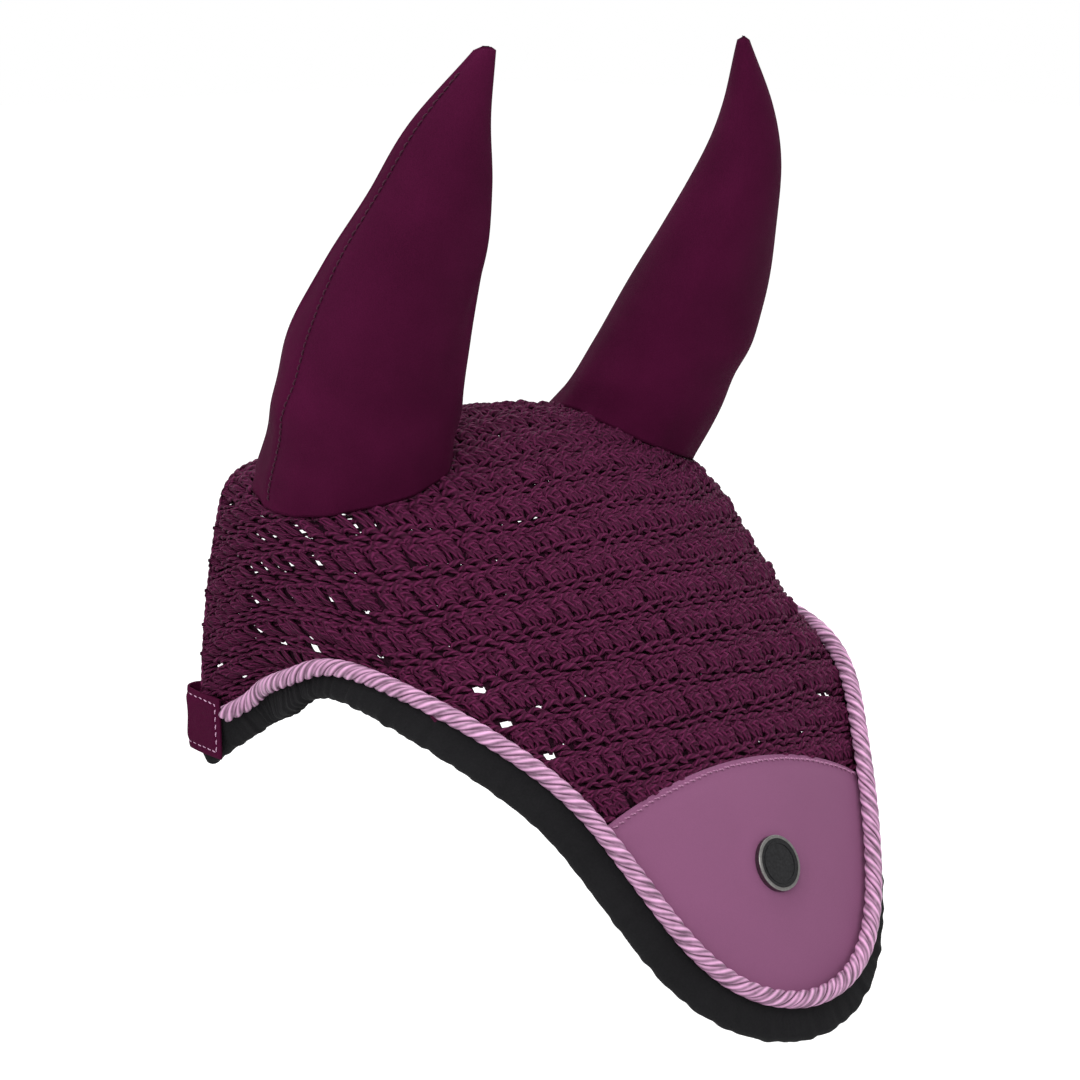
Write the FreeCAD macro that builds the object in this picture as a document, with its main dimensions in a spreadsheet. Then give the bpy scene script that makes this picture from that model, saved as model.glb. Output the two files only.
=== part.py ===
# Crocheted fly bonnet for a horse, in millimetres, as it sits on the head.
# +Z is up, the face looks along -Y, and the horse's right side is -X.
# The origin is the middle of the poll, where the cloth lies on the head.
import FreeCAD, Part
import functools
import math
import os
import Sketcher
from FreeCAD import Placement, Rotation, Vector

doc = FreeCAD.newDocument("FlyBonnet")
sheet = doc.addObject("Spreadsheet::Sheet", "Dimensions")

# Driving dimensions.
DIMENSIONS = {
    # the head that the cloth lies on: two overall sizes stretch the stations below
    "cloth_length": 395, "cloth_width": 240, "ear_height": 197,
    # crocheted crown
    "crown_thick": 3,
    # folded edge tape: how far it stands past the cord's line, and its leaves
    "tape_width": 17.5, "tape_inboard": 2, "tape_leaf": 1.2, "tape_ease": 1.5, "fold_gap": 1.2,
    # twisted cord on the tape's inner edge
    "cord_diameter": 7.6, "cord_ease": 1.2, "cord_tuck": 8,
    # patch on the forehead
    "patch_top": 272, "patch_corner": 289, "patch_thick": 1.2, "patch_stitch_inset": 2.6,
    # general gap between layers of cloth
    "layer_gap": 0.3,
    # badge
    "badge_place": 320, "badge_radius": 12.3, "badge_depth": 2.6, "badge_rim_width": 1.5,
    "badge_face_thick": 1.2, "badge_ring_radius": 9.2, "badge_ring_width": 0.7,
    "rivet_radius": 2, "rivet_head_radius": 4.2, "rivet_head_thick": 0.8, "rivet_play": 0.1,
    "washer_radius": 7, "washer_thick": 1,
    # corner tabs
    "tab_length": 26, "tab_drop": 29, "tab_leaf": 1, "tab_top": 206, "tab_overhang": 5,
    "tab_stitch_inset": 3, "tab_ease_out": 0.5, "tab_ease_in": 2.2,
    # ear sleeves
    "ear_cloth": 1.2, "ear_split": 14, "ear_split_gap": 0.4,
    # sewing thread
    "thread_diameter": 0.8, "stitch_length": 3, "stitch_gap": 1.2, "join_stand_off": 1.6,
    "join_lift": 0.8,
}

# Stations along the middle of the cloth, from the rear edge to the tip: back and up place
# the middle, lean tilts the section backwards from plumb, crown_radius is its flat top, and
# from shoulder_start to shoulder_end, along the cloth, it turns down by wall_angle.
STATIONS = {
    "rear_edge":  {"back": 71, "up": -10, "lean": 6, "crown_radius": 400,
                   "shoulder_start": 90, "shoulder_end": 121, "wall_angle": 64},
    "behind_ears": {"back": 37, "up": -2, "lean": 9, "crown_radius": 290,
                    "shoulder_start": 98, "shoulder_end": 143, "wall_angle": 60},
    "poll":       {"back": 2, "up": 1, "lean": 17, "crown_radius": 230,
                   "shoulder_start": 100, "shoulder_end": 151, "wall_angle": 53.5},
    "forelock":   {"back": -46, "up": -21, "lean": 33, "crown_radius": 250,
                   "shoulder_start": 80, "shoulder_end": 157, "wall_angle": 51},
    "brow":       {"back": -89.5, "up": -66.5, "lean": 61.5, "crown_radius": 260,
                   "shoulder_start": 67, "shoulder_end": 161.5, "wall_angle": 47},
    "forehead":   {"back": -126, "up": -118, "lean": 70, "crown_radius": 310,
                   "shoulder_start": 77, "shoulder_end": 170, "wall_angle": 38},
    "patch":      {"back": -153, "up": -161, "lean": 70, "crown_radius": 255,
                   "shoulder_start": 79, "shoulder_end": 172, "wall_angle": 34},
    "past_tip":   {"back": -187, "up": -250, "lean": 69, "crown_radius": 220,
                   "shoulder_start": 80, "shoulder_end": 172, "wall_angle": 41},
}

# The cord's line in the cloth, from the rear corner to the tip: along the middle, and
# across from it.
CORD_LINE = {
    "corner":  {"along": 1, "across": 223}, "tab_front": {"along": 27, "across": 220},
    "cheek":   {"along": 60, "across": 212}, "arch_back": {"along": 98, "across": 199},
    "arch":    {"along": 142, "across": 178}, "arch_front": {"along": 190, "across": 148},
    "temple":  {"along": 236, "across": 116}, "side":      {"along": 274, "across": 91},
    "cheekbone": {"along": 312, "across": 74}, "nose_side": {"along": 346, "across": 57},
    "nose_turn": {"along": 366, "across": 39}, "nose_round": {"along": 376, "across": 19},
    "tip":     {"along": 379, "across": 0},
}

# Level sections of the ear on the horse's left: height up, its middle, and half its width
# across the fold and through it.
EAR_SECTIONS = {
    "root":      {"up": -52, "out": 76, "back": 26, "half_wide": 34, "half_deep": 34},
    "base":      {"up": -24, "out": 82, "back": 15, "half_wide": 42, "half_deep": 42},
    "neck":      {"up": 8, "out": 90, "back": -3, "half_wide": 39.5, "half_deep": 39.5},
    "belly":     {"up": 45, "out": 95.5, "back": -21, "half_wide": 38.5, "half_deep": 34.5},
    "shoulder":  {"up": 80, "out": 97.5, "back": -38, "half_wide": 34.5, "half_deep": 26},
    "upper":     {"up": 110, "out": 96, "back": -51.5, "half_wide": 25.5, "half_deep": 18.5},
    "point":     {"up": 138, "out": 91.5, "back": -60, "half_wide": 16, "half_deep": 11.5},
    "tip":       {"up": 167, "out": 80, "back": -68, "half_wide": 4.4, "half_deep": 2.8},
}


def fill_sheet():
    """Writes every driving dimension into the sheet, each under its own alias."""
    values = dict(DIMENSIONS)
    for table in (STATIONS, CORD_LINE, EAR_SECTIONS):
        for place, numbers in table.items():
            for what, number in numbers.items():
                values[f"{table_word[id(table)]}{place}_{what}"] = number
    for row, (alias, number) in enumerate(values.items(), start=1):
        sheet.set(f"A{row}", alias)
        sheet.set(f"B{row}", str(number))
        sheet.setAlias(f"B{row}", alias)
    doc.recompute()


table_word = {id(STATIONS): "cloth_", id(CORD_LINE): "cord_", id(EAR_SECTIONS): "ear_"}
fill_sheet()


def size(alias):
    return float(sheet.get(alias))


def column(table, what):
    return [size(f"{table_word[id(table)]}{place}_{what}") for place in table]


def smooth_curve(places, values):
    """A curve through (place, value) pairs whose slope follows its neighbours."""
    slopes = []
    for i in range(len(places)):
        lo = max(i - 1, 0)
        hi = min(i + 1, len(places) - 1)
        slopes.append((values[hi] - values[lo]) / (places[hi] - places[lo]))

    def curve(at):
        i = 0
        while i < len(places) - 2 and at > places[i + 1]:
            i += 1
        span = places[i + 1] - places[i]
        k = (at - places[i]) / span
        rise = values[i + 1] - values[i]
        start = slopes[i] * span
        end = slopes[i + 1] * span
        return values[i] + k * (start + k * (3 * rise - 2 * start - end + k * (start + end - 2 * rise)))

    return curve


def running_lengths(points):
    lengths = [0.0]
    for before, after in zip(points, points[1:]):
        lengths.append(lengths[-1] + math.dist(before, after))
    return lengths


# The head's shape: two overall sizes stretch the stations, which were set down for these.
NOMINAL_LENGTH = 395
NOMINAL_WIDTH = 240
NOMINAL_EAR = 197
length_stretch = size("cloth_length") / NOMINAL_LENGTH
width_stretch = size("cloth_width") / NOMINAL_WIDTH
middle = list(zip(column(STATIONS, "back"), column(STATIONS, "up")))
station_places = running_lengths(middle)
station_curves = {what: smooth_curve(station_places, column(STATIONS, what))
                  for what in STATIONS["poll"]}
SECTION_STEP = 1.0
SECTION_REACH = 260


@functools.lru_cache(maxsize=None)
def section(along):
    """Half a cross-section: how far out and down it is at each step along the cloth."""
    at = {what: curve(along) for what, curve in station_curves.items()}
    wall = math.radians(at["wall_angle"])
    out = [0.0]
    down = [0.0]
    for step in range(int(SECTION_REACH / SECTION_STEP)):
        across = (step + 0.5) * SECTION_STEP
        k = (across - at["shoulder_start"]) / (at["shoulder_end"] - at["shoulder_start"])
        k = min(max(k, 0), 1)
        slope = across / at["crown_radius"] + wall * k ** 3 * (k * (6 * k - 15) + 10)
        out.append(out[-1] + math.cos(slope) * SECTION_STEP)
        down.append(down[-1] + math.sin(slope) * SECTION_STEP)
    return at["back"], at["up"], math.radians(at["lean"]), out, down


def cloth(along, across):
    """A point of the crown's outer side, from lengths along the middle and across it."""
    back, up, lean, out, down = section(round(along, 3))
    step = min(abs(across) / SECTION_STEP, len(out) - 1.001)
    i = int(step)
    k = step - i
    side = math.copysign(1, across)
    x = side * (out[i] + (out[i + 1] - out[i]) * k)
    drop = down[i] + (down[i + 1] - down[i]) * k
    return Vector(x * width_stretch, (back + drop * math.sin(lean)) * length_stretch,
                  (up - drop * math.cos(lean)) * length_stretch)


def cloth_slopes(along, across):
    step = 1.0
    forward = (cloth(along + step, across) - cloth(along - step, across)) / (2 * step)
    sideways = (cloth(along, across + step) - cloth(along, across - step)) / (2 * step)
    return forward, sideways


def cloth_normal(along, across):
    forward, sideways = cloth_slopes(along, across)
    return forward.cross(sideways).normalize()


def above_cloth(along, across, height):
    return cloth(along, across) + cloth_normal(along, across) * height


# The cord's line, from the right corner round the tip to the left one.
cord_half = list(zip(column(CORD_LINE, "along"), column(CORD_LINE, "across")))
cord_whole = [(along, -across) for along, across in cord_half] + cord_half[-2::-1]
cord_lengths = running_lengths(cord_whole)
cord_reach = cord_lengths[-1] / 2
cord_places = [length - cord_reach for length in cord_lengths]
cord_along = smooth_curve(cord_places, [along for along, across in cord_whole])
cord_across = smooth_curve(cord_places, [across for along, across in cord_whole])


def rim_frame(place, outboard=0.0):
    """Point, normal, run of the rim, way off the cloth, and the place in the cloth."""
    ahead = (cord_along(place + 1), cord_across(place + 1))
    behind = (cord_along(place - 1), cord_across(place - 1))
    run = (cloth(*ahead) - cloth(*behind)).normalize()
    span = math.dist(ahead, behind)
    along = cord_along(place) + outboard * (ahead[1] - behind[1]) / span
    across = cord_across(place) - outboard * (ahead[0] - behind[0]) / span
    normal = cloth_normal(along, across)
    off = run.cross(normal).normalize()
    return cloth(along, across), normal, run, off, (along, across)


def block_between(rows, top, bottom):
    """A closed solid between two heights over the cloth, from rows of cloth places."""
    faces = []
    surfaces = []
    for height in (top, bottom):
        surface = Part.BSplineSurface()
        surface.interpolate([[above_cloth(along, across, height) for along, across in row]
                             for row in rows])
        surfaces.append(surface)
        faces.append(surface.toShape())
    u0, u1, v0, v1 = surfaces[0].bounds()
    low = surfaces[1].bounds()
    for upper, lower in ((surfaces[0].uIso(u0), surfaces[1].uIso(low[0])),
                         (surfaces[0].uIso(u1), surfaces[1].uIso(low[1])),
                         (surfaces[0].vIso(v0), surfaces[1].vIso(low[2])),
                         (surfaces[0].vIso(v1), surfaces[1].vIso(low[3]))):
        faces.append(Part.makeRuledSurface(upper.toShape(), lower.toShape()))
    return closed_solid(faces)


def closed_solid(faces):
    shell = Part.Shell(faces)
    shell.sewShape()
    solid = Part.Solid(shell)
    if solid.Volume < 0:
        solid.reverse()
    return solid


def rows_between(ends, bulge_start, bulge_end, columns):
    """Rows of cloth places from side to side; each bulges towards the tip in its middle."""
    rows = []
    for i, (along, across) in enumerate(ends):
        k = i / (len(ends) - 1)
        bulge = bulge_start + (bulge_end - bulge_start) * k
        row = []
        for j in range(columns):
            q = 2 * j / (columns - 1) - 1
            row.append((along + bulge * (1 - q * q), across * q))
        rows.append(row)
    return rows


def rim_ends(first, last, outboard, count):
    """Places on the left side of the rim, from one place to another."""
    ends = []
    for i in range(count):
        k = i / (count - 1)
        ends.append(rim_frame(first + (last - first) * k, outboard)[4])
    return ends


def shape_node(name, shape):
    node = doc.addObject("Part::Feature", name)
    node.Label = name
    node.Shape = shape
    nodes.append(node)
    return node


nodes = []


# Crown: one crocheted sheet, open at the two ears and where the badge's rivet passes.
TIP_TURN = 30  # how far from the tip, along the rim, the last row across the cloth begins
crown_edge = size("tape_width") - size("tape_leaf") - size("fold_gap")


def crown_shape():
    ends = rim_ends(cord_reach, TIP_TURN, crown_edge, 26)
    tip_along = rim_frame(0, crown_edge)[4][0]
    rows = rows_between(ends, 0, tip_along - ends[-1][0], 45)
    shape = block_between(rows, 0, -size("crown_thick"))
    for side in (-1, 1):
        shape = shape.cut(ear_loft(side, size("ear_cloth"), "root", "tip"))
    return shape.cut(rivet_hole())


# Ears: sleeves of one thin cloth, drawn as level sections that lean forwards.
def ear_place(up, side):
    """Middle and half widths of the ear's section at a height."""
    heights = column(EAR_SECTIONS, "up")
    middle_at = Vector(side * width_stretch * smooth_curve(heights, column(EAR_SECTIONS, "out"))(up),
                       length_stretch * smooth_curve(heights, column(EAR_SECTIONS, "back"))(up), 0)
    return (middle_at, smooth_curve(heights, column(EAR_SECTIONS, "half_wide"))(up),
            smooth_curve(heights, column(EAR_SECTIONS, "half_deep"))(up))


def ear_height(up):
    """Heights above the poll grow with the ear; the rest sits on the head."""
    below = NOMINAL_EAR - size("ear_tip_up")
    return up * (size("ear_height") - below) / (NOMINAL_EAR - below) if up > 0 else up * length_stretch


def ear_point(side, up, angle, inside=0.0):
    centre, wide, deep = ear_place(up, side)
    to_seam = Vector(side * math.sqrt(0.5), math.sqrt(0.5), 0)
    to_front = Vector(side * math.sqrt(0.5), -math.sqrt(0.5), 0)
    flat = (centre + to_seam * (max(wide - inside, 0.6) * math.cos(angle))
            + to_front * (max(deep - inside, 0.6) * math.sin(angle)))
    return Vector(flat.x, flat.y, ear_height(up))


def ear_ring(side, up, inside):
    points = [ear_point(side, up, math.radians(turn), inside) for turn in range(0, 360, 20)]
    ring = Part.BSplineCurve()
    ring.interpolate(points, PeriodicFlag=True)
    return Part.Wire(ring.toShape())


def ear_loft(side, inside, first, last):
    heights = [size(f"ear_{place}_up") for place in EAR_SECTIONS]
    low = size(f"ear_{first}_up")
    high = size(f"ear_{last}_up")
    levels = [up for up in heights if low <= up <= high]
    if inside:
        levels[-1] -= 3 * inside
    return Part.makeLoft([ear_ring(side, up, inside) for up in levels], True, False)


def head_block(side, gap):
    """The room under the cloth round one ear, up to a gap over it."""
    rows = []
    for i in range(20):
        along = 1 + i * 8.0
        rows.append([(along, side * (6 + j * 9.0)) for j in range(19)])
    top = Part.BSplineSurface()
    top.interpolate([[above_cloth(along, across, gap) for along, across in row] for row in rows])
    return top.toShape().extrude(Vector(-side * 50, 10, -90))


def ear_shell(side):
    sleeve = ear_loft(side, 0, "root", "tip").cut(ear_loft(side, size("ear_cloth"), "root", "tip"))
    return sleeve.cut(head_block(side, size("layer_gap")))


def level_box(low, high):
    box = Part.makeBox(400, 400, high - low)
    box.translate(Vector(-200, -200, low))
    return box


def biggest(shape):
    return max(shape.Solids, key=lambda solid: solid.Volume)


# Edge tape: folded round the crown's edge from corner to corner.
TAPE_SECTIONS = 73


def tape_shape():
    ease = size("tape_ease")
    leaf = size("tape_leaf")
    inboard = -size("tape_inboard")
    outboard = size("tape_width")
    fold = outboard - leaf
    top = ease + leaf
    bottom = -size("crown_thick") - ease - leaf
    profile = [(inboard, top), (outboard, top), (outboard, bottom), (inboard, bottom),
               (inboard, bottom + leaf), (fold, bottom + leaf), (fold, top - leaf), (inboard, top - leaf)]
    halfway = (inboard + outboard) / 2
    wires = []
    for i in range(TAPE_SECTIONS):
        place = cord_reach * (2 * i / (TAPE_SECTIONS - 1) - 1)
        point, normal, run, off, where = rim_frame(place, halfway)
        corners = [point + off * (reach - halfway) + normal * height for reach, height in profile]
        wires.append(Part.makePolygon(corners + corners[:1]))
    return Part.makeLoft(wires, True, True)


# Twisted cord: one tube on the tape's inner edge, sewn down all the way.
CORD_POINTS = 37


def cord_shape():
    radius = size("cord_diameter") / 2
    height = size("tape_ease") + size("tape_leaf") + size("cord_ease") + radius
    tab_front = size("tab_length") - size("tab_overhang")
    reach = cord_reach - tab_front - size("cord_tuck")
    route = []
    for i in range(CORD_POINTS):
        place = reach * (2 * i / (CORD_POINTS - 1) - 1)
        point, normal, run, off, where = rim_frame(place)
        route.append(point + normal * height)
    path, length = arc_path(route)
    start = (route[1] - route[0]).normalize()
    circle = Part.Wire(Part.makeCircle(radius, route[0], start))
    tube = path.makePipeShell([circle], True, True)
    print("rim cord length", round(length, 1), "volume over section times length",
          round(tube.Volume / (math.pi * radius ** 2 * length), 4))
    return tube


def arc_path(route):
    """Straight runs joined by tangent arcs, as large as the shorter run beside each allows."""
    edges = []
    radii = []
    at = route[0]
    for before, corner, after in zip(route, route[1:], route[2:]):
        arriving = (corner - before).normalize()
        leaving = (after - corner).normalize()
        turn = arriving.getAngle(leaving)
        reach = 0.45 * min(before.distanceToPoint(corner), corner.distanceToPoint(after))
        radius = reach / math.tan(turn / 2)
        inward = (leaving - arriving).normalize()
        arc_start = corner - arriving * reach
        arc_end = corner + leaving * reach
        arc_middle = corner + inward * (radius / math.cos(turn / 2) - radius)
        edges.append(Part.LineSegment(at, arc_start).toShape())
        edges.append(Part.Arc(arc_start, arc_middle, arc_end).toShape())
        radii.append(round(radius))
        at = arc_end
    edges.append(Part.LineSegment(at, route[-1]).toShape())
    print("rim cord bend radii", radii)
    path = Part.Wire(edges)
    return path, path.Length


# Patch: a plain sheet on the forehead, under the tape and the cord.
def patch_shape():
    inside = -size("tape_inboard") - size("layer_gap")
    first = place_at_along(size("patch_corner"))
    ends = rim_ends(first, TIP_TURN, inside, 14)
    tip_along = rim_frame(0, inside)[4][0]
    rows = rows_between(ends, size("patch_top") - ends[0][0], tip_along - ends[-1][0], 31)
    low = size("layer_gap")
    return block_between(rows, low + size("patch_thick"), low).cut(rivet_hole())


def place_at_along(along):
    """The place on the rim's left side that is this far along the middle."""
    low, high = 0.0, cord_reach
    for halving in range(40):
        half = (low + high) / 2
        if cord_along(half) > along:
            low = half
        else:
            high = half
    return (low + high) / 2


# Badge: a plain rimmed button, riveted through the patch and the crown.
def badge_axis():
    place = size("badge_place")
    return cloth(place, 0), cloth_normal(place, 0)


def rivet_hole():
    point, normal = badge_axis()
    reach = 12
    radius = size("rivet_radius") + size("rivet_play") + size("layer_gap")
    return Part.makeCylinder(radius, 2 * reach, point - normal * reach, normal)


def badge_placement(height):
    point, normal = badge_axis()
    return Placement(point + normal * height, Rotation(Vector(0, 0, 1), normal))


def origin_plane(body, role):
    return next(feature for feature in body.Origin.OriginFeatures if feature.Role == role)


def new_body(name):
    body = doc.addObject("PartDesign::Body", name)
    body.Label = name
    nodes.append(body)
    return body


def ring_sketch(body, name, outer, inner="", lift=""):
    """A circle, or two on one centre, on the body's level plane."""
    sketch = body.newObject("Sketcher::SketchObject", name)
    sketch.AttachmentSupport = (origin_plane(body, "XY_Plane"), "")
    sketch.MapMode = "FlatFace"
    for alias in filter(None, (outer, inner)):
        edge = sketch.addGeometry(Part.Circle(Vector(), Vector(0, 0, 1), 1), False)
        sketch.addConstraint(Sketcher.Constraint("Coincident", edge, 3, -1, 1))
        rule = sketch.addConstraint(Sketcher.Constraint("Radius", edge, 1))
        sketch.setExpression(f"Constraints[{rule}]", alias)
    if lift:
        sketch.setExpression("AttachmentOffset.Base.z", lift)
    return sketch


def pad(body, name, sketch, length):
    feature = body.newObject("PartDesign::Pad", name)
    feature.Profile = sketch
    feature.setExpression("Length", length)
    return feature


def badge_rim():
    body = new_body("badge_rim")
    d = "Dimensions."
    hole = f"{d}rivet_radius + {d}rivet_play"
    pad(body, "rim_floor", ring_sketch(body, "rim_floor_outline", f"{d}badge_radius", hole),
        f"{d}badge_depth - {d}badge_face_thick - {d}layer_gap")
    wall = ring_sketch(body, "rim_wall_outline", f"{d}badge_radius",
                       f"{d}badge_radius - {d}badge_rim_width")
    wall_pad = pad(body, "rim_wall", wall, f"{d}badge_depth")
    doc.recompute()
    rounding = body.newObject("PartDesign::Fillet", "rim_rounding")
    top = f"Edge{top_edge(wall_pad.Shape, size('badge_radius'), size('badge_depth'))}"
    rounding.Base = (wall_pad, [top])
    rounding.setExpression("Radius", f"{d}badge_rim_width * 0.4")
    body.Tip = rounding
    body.Placement = badge_placement(badge_seat())


def top_edge(shape, radius, height):
    for number, edge in enumerate(shape.Edges, start=1):
        box = edge.BoundBox
        if abs(box.ZMin - height) < 0.01 and abs(box.ZMax - height) < 0.01 and abs(box.XMax - radius) < 0.01:
            return number
    raise ValueError("the badge has no top edge")


def badge_seat():
    return 3 * size("layer_gap") + size("patch_thick")


def badge_face():
    body = new_body("badge_face")
    d = "Dimensions."
    disc = ring_sketch(body, "face_outline", f"{d}badge_radius - {d}badge_rim_width - {d}rivet_play")
    pad(body, "face_disc", disc, f"{d}badge_face_thick")
    ring = ring_sketch(body, "face_ring_outline", f"{d}badge_ring_radius",
                       f"{d}badge_ring_radius - {d}badge_ring_width")
    pad(body, "face_ring", ring, f"{d}badge_face_thick + {d}layer_gap")
    body.Placement = badge_placement(badge_seat() + size("badge_depth") - size("badge_face_thick"))


def badge_washer():
    body = new_body("badge_washer")
    d = "Dimensions."
    ring = ring_sketch(body, "washer_outline", f"{d}washer_radius", f"{d}rivet_radius + {d}rivet_play")
    pad(body, "washer_disc", ring, f"{d}washer_thick")
    body.Placement = badge_placement(-size("crown_thick") - 2 * size("layer_gap") - size("washer_thick"))


def badge_rivet():
    body = new_body("badge_rivet")
    d = "Dimensions."
    head = ring_sketch(body, "rivet_head_outline", f"{d}rivet_head_radius")
    pad(body, "rivet_head", head, f"{d}rivet_head_thick")
    shank = ring_sketch(body, "rivet_shank_outline", f"{d}rivet_radius")
    pad(body, "rivet_shank", shank,
        f"{d}rivet_head_thick + {d}washer_thick + {d}crown_thick + {d}patch_thick"
        f" + {d}badge_depth - {d}badge_face_thick + {d}layer_gap * 4")
    below = size("crown_thick") + 2.2 * size("layer_gap") + size("washer_thick") + size("rivet_head_thick")
    body.Placement = badge_placement(-below)


# Corner tabs: short straps folded round the rear corners, over the tape's ends.
def corner_tab(side):
    name = "corner_tab_left" if side > 0 else "corner_tab_right"
    leaf = size("tab_leaf")
    room = tab_lift() + tab_sink()
    parts = []
    for part, depth, length, start in (("outer", leaf, size("tab_length"), (0, room + leaf)),
                                       ("fold", room, leaf, (0, leaf)),
                                       ("inner", leaf, size("tab_length"), (0, 0))):
        box = doc.addObject("Part::Box", f"{name}_{part}")
        box.Length = length
        box.Width = size("tab_drop")
        box.Height = depth
        box.Placement = Placement(Vector(start[0], 0, start[1]), Rotation())
        parts.append(box)
    tab = doc.addObject("Part::MultiFuse", name)
    tab.Shapes = parts
    tab.Refine = True
    tab.Label = name
    tab.Placement = tab_placement(side)
    nodes.append(tab)


def tab_frame(side):
    """Corner, forward, down and outward of a tab, on the cloth's outer side."""
    along = size("tab_length") / 2 - size("tab_overhang")
    across = size("tab_top") + size("tab_drop") / 2
    forward, sideways = cloth_slopes(along, side * across)
    down = sideways.normalize() * side
    outward = cloth_normal(along, side * across)
    ahead = down.cross(outward) * side
    centre = cloth(along, side * across)
    corner = centre - ahead * (size("tab_length") / 2) - down * (size("tab_drop") / 2)
    return corner, ahead, down, outward


def tab_lift():
    """How far the outer leaf's inner face stands over the crown, and over the tape."""
    return size("tape_ease") + size("tape_leaf") + size("layer_gap") + size("tab_ease_out")


def tab_sink():
    tape_depth = size("crown_thick") + size("tape_ease") + size("tape_leaf")
    return tape_depth + size("layer_gap") + size("tab_ease_in")


def tab_placement(side):
    corner, ahead, down, outward = tab_frame(side)
    base = corner - outward * (tab_sink() + size("tab_leaf"))
    if side > 0:
        return Placement(base, Rotation(ahead, down, outward, "ZXY"))
    return Placement(base + down * size("tab_drop"), Rotation(ahead, down * -1, outward, "ZXY"))


# Sewing thread: each row of stitches is one node of short straight threads.
def stitch_row(points, normals, lift):
    """Threads laid end to end along a line of points, with gaps between them."""
    lengths = [0.0]
    for before, after in zip(points, points[1:]):
        lengths.append(lengths[-1] + before.distanceToPoint(after))
    pitch = size("stitch_length") + size("stitch_gap")
    count = int(lengths[-1] / pitch)
    radius = size("thread_diameter") / 2
    threads = []
    for i in range(count):
        start = point_along(points, lengths, (i + 0.2) * pitch)
        end = point_along(points, lengths, (i + 0.2) * pitch + size("stitch_length"))
        up = point_along(normals, lengths, (i + 0.5) * pitch).normalize()
        lifted = up * (lift + radius)
        threads.append(Part.makeCylinder(radius, start.distanceToPoint(end), start + lifted, end - start))
    return Part.makeCompound(threads)


def point_along(points, lengths, at):
    i = 0
    while i < len(lengths) - 2 and at > lengths[i + 1]:
        i += 1
    k = (at - lengths[i]) / (lengths[i + 1] - lengths[i])
    return points[i] + (points[i + 1] - points[i]) * k


def patch_stitches():
    inset = size("patch_stitch_inset")
    inside = -size("tape_inboard") - size("layer_gap")
    along, across = rim_frame(place_at_along(size("patch_corner")), inside)[4]
    rise = along - size("patch_top")
    points = []
    normals = []
    for i in range(61):
        q = (2 * i / 60 - 1) * (1 - inset / across)
        place = (size("patch_top") + inset + rise * q * q, across * q)
        points.append(cloth(*place))
        normals.append(cloth_normal(*place))
    return stitch_row(points, normals, size("layer_gap") * 1.5 + size("patch_thick"))


def tab_stitches(side):
    """A box of thread near the tab's edge on its outer leaf."""
    corner, ahead, down, outward = tab_frame(side)
    inset = size("tab_stitch_inset")
    lift = tab_lift() + size("tab_leaf") + size("layer_gap") / 2
    ring = []
    for forward, lower in ((inset, inset), (size("tab_length") - inset, inset),
                           (size("tab_length") - inset, size("tab_drop") - inset),
                           (inset, size("tab_drop") - inset), (inset, inset)):
        ring.append(corner + ahead * forward + down * lower)
    sides = [stitch_row([a, b], [outward, outward], lift) for a, b in zip(ring, ring[1:])]
    return Part.makeCompound([thread for row in sides for thread in row.Solids])


SEAM_TURN = 34


def ear_seam_stitches(side):
    low = size("ear_split") + 3
    high = size("ear_point_up")
    points = []
    normals = []
    for i in range(41):
        up = low + (high - low) * i / 40
        points.append(ear_point(side, up, math.radians(SEAM_TURN)))
        outward = points[-1] - ear_point(side, up, math.radians(SEAM_TURN + 180))
        normals.append(outward.normalize())
    return stitch_row(points, normals, size("layer_gap") * 2)


def ear_join_stitches(side):
    """Threads round the ear's foot, where the sleeve is sewn into the crown."""
    points = []
    normals = []
    for turn in range(0, 361, 6):
        angle = math.radians(turn)
        low, high = size("ear_root_up"), size("ear_split")
        for halving in range(24):
            up = (low + high) / 2
            if height_over_cloth(ear_point(side, up, angle, -size("join_stand_off"))) > size("join_lift"):
                high = up
            else:
                low = up
        point = ear_point(side, up, angle, -size("join_stand_off"))
        points.append(point)
        outward = point - ear_point(side, up, angle + math.pi)
        normals.append(Vector(outward.x, outward.y, 0).normalize())
    return stitch_row(points, normals, 0)


@functools.lru_cache(maxsize=None)
def cloth_net():
    return [(cloth(along, across), cloth_normal(along, across))
            for along in range(0, 161, 3) for across in range(0, 177, 3)]


def height_over_cloth(point):
    near = Vector(abs(point.x), point.y, point.z)
    spot, normal = min(cloth_net(), key=lambda pair: pair[0].distanceToPoint(near))
    return (near - spot).dot(normal)


def build_ears():
    for side, word in ((-1, "right"), (1, "left")):
        shell = ear_shell(side)
        split = ear_height(size("ear_split"))
        shape_node(f"ear_base_{word}", biggest(shell.common(level_box(-90, split))))
        sleeve = shell.common(level_box(split + size("ear_split_gap"), 400))
        shape_node(f"ear_sleeve_{word}", biggest(sleeve))
        shape_node(f"ear_seam_stitches_{word}", ear_seam_stitches(side))
        shape_node(f"ear_join_stitches_{word}", ear_join_stitches(side))


def build_trim():
    shape_node("edge_tape", tape_shape())
    shape_node("rim_cord", cord_shape())
    shape_node("forehead_patch", patch_shape())
    shape_node("patch_stitches", patch_stitches())
    for side, word in ((-1, "right"), (1, "left")):
        corner_tab(side)
        shape_node(f"tab_stitches_{word}", tab_stitches(side))


def build_badge():
    badge_rim()
    badge_face()
    badge_rivet()
    badge_washer()


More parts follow.
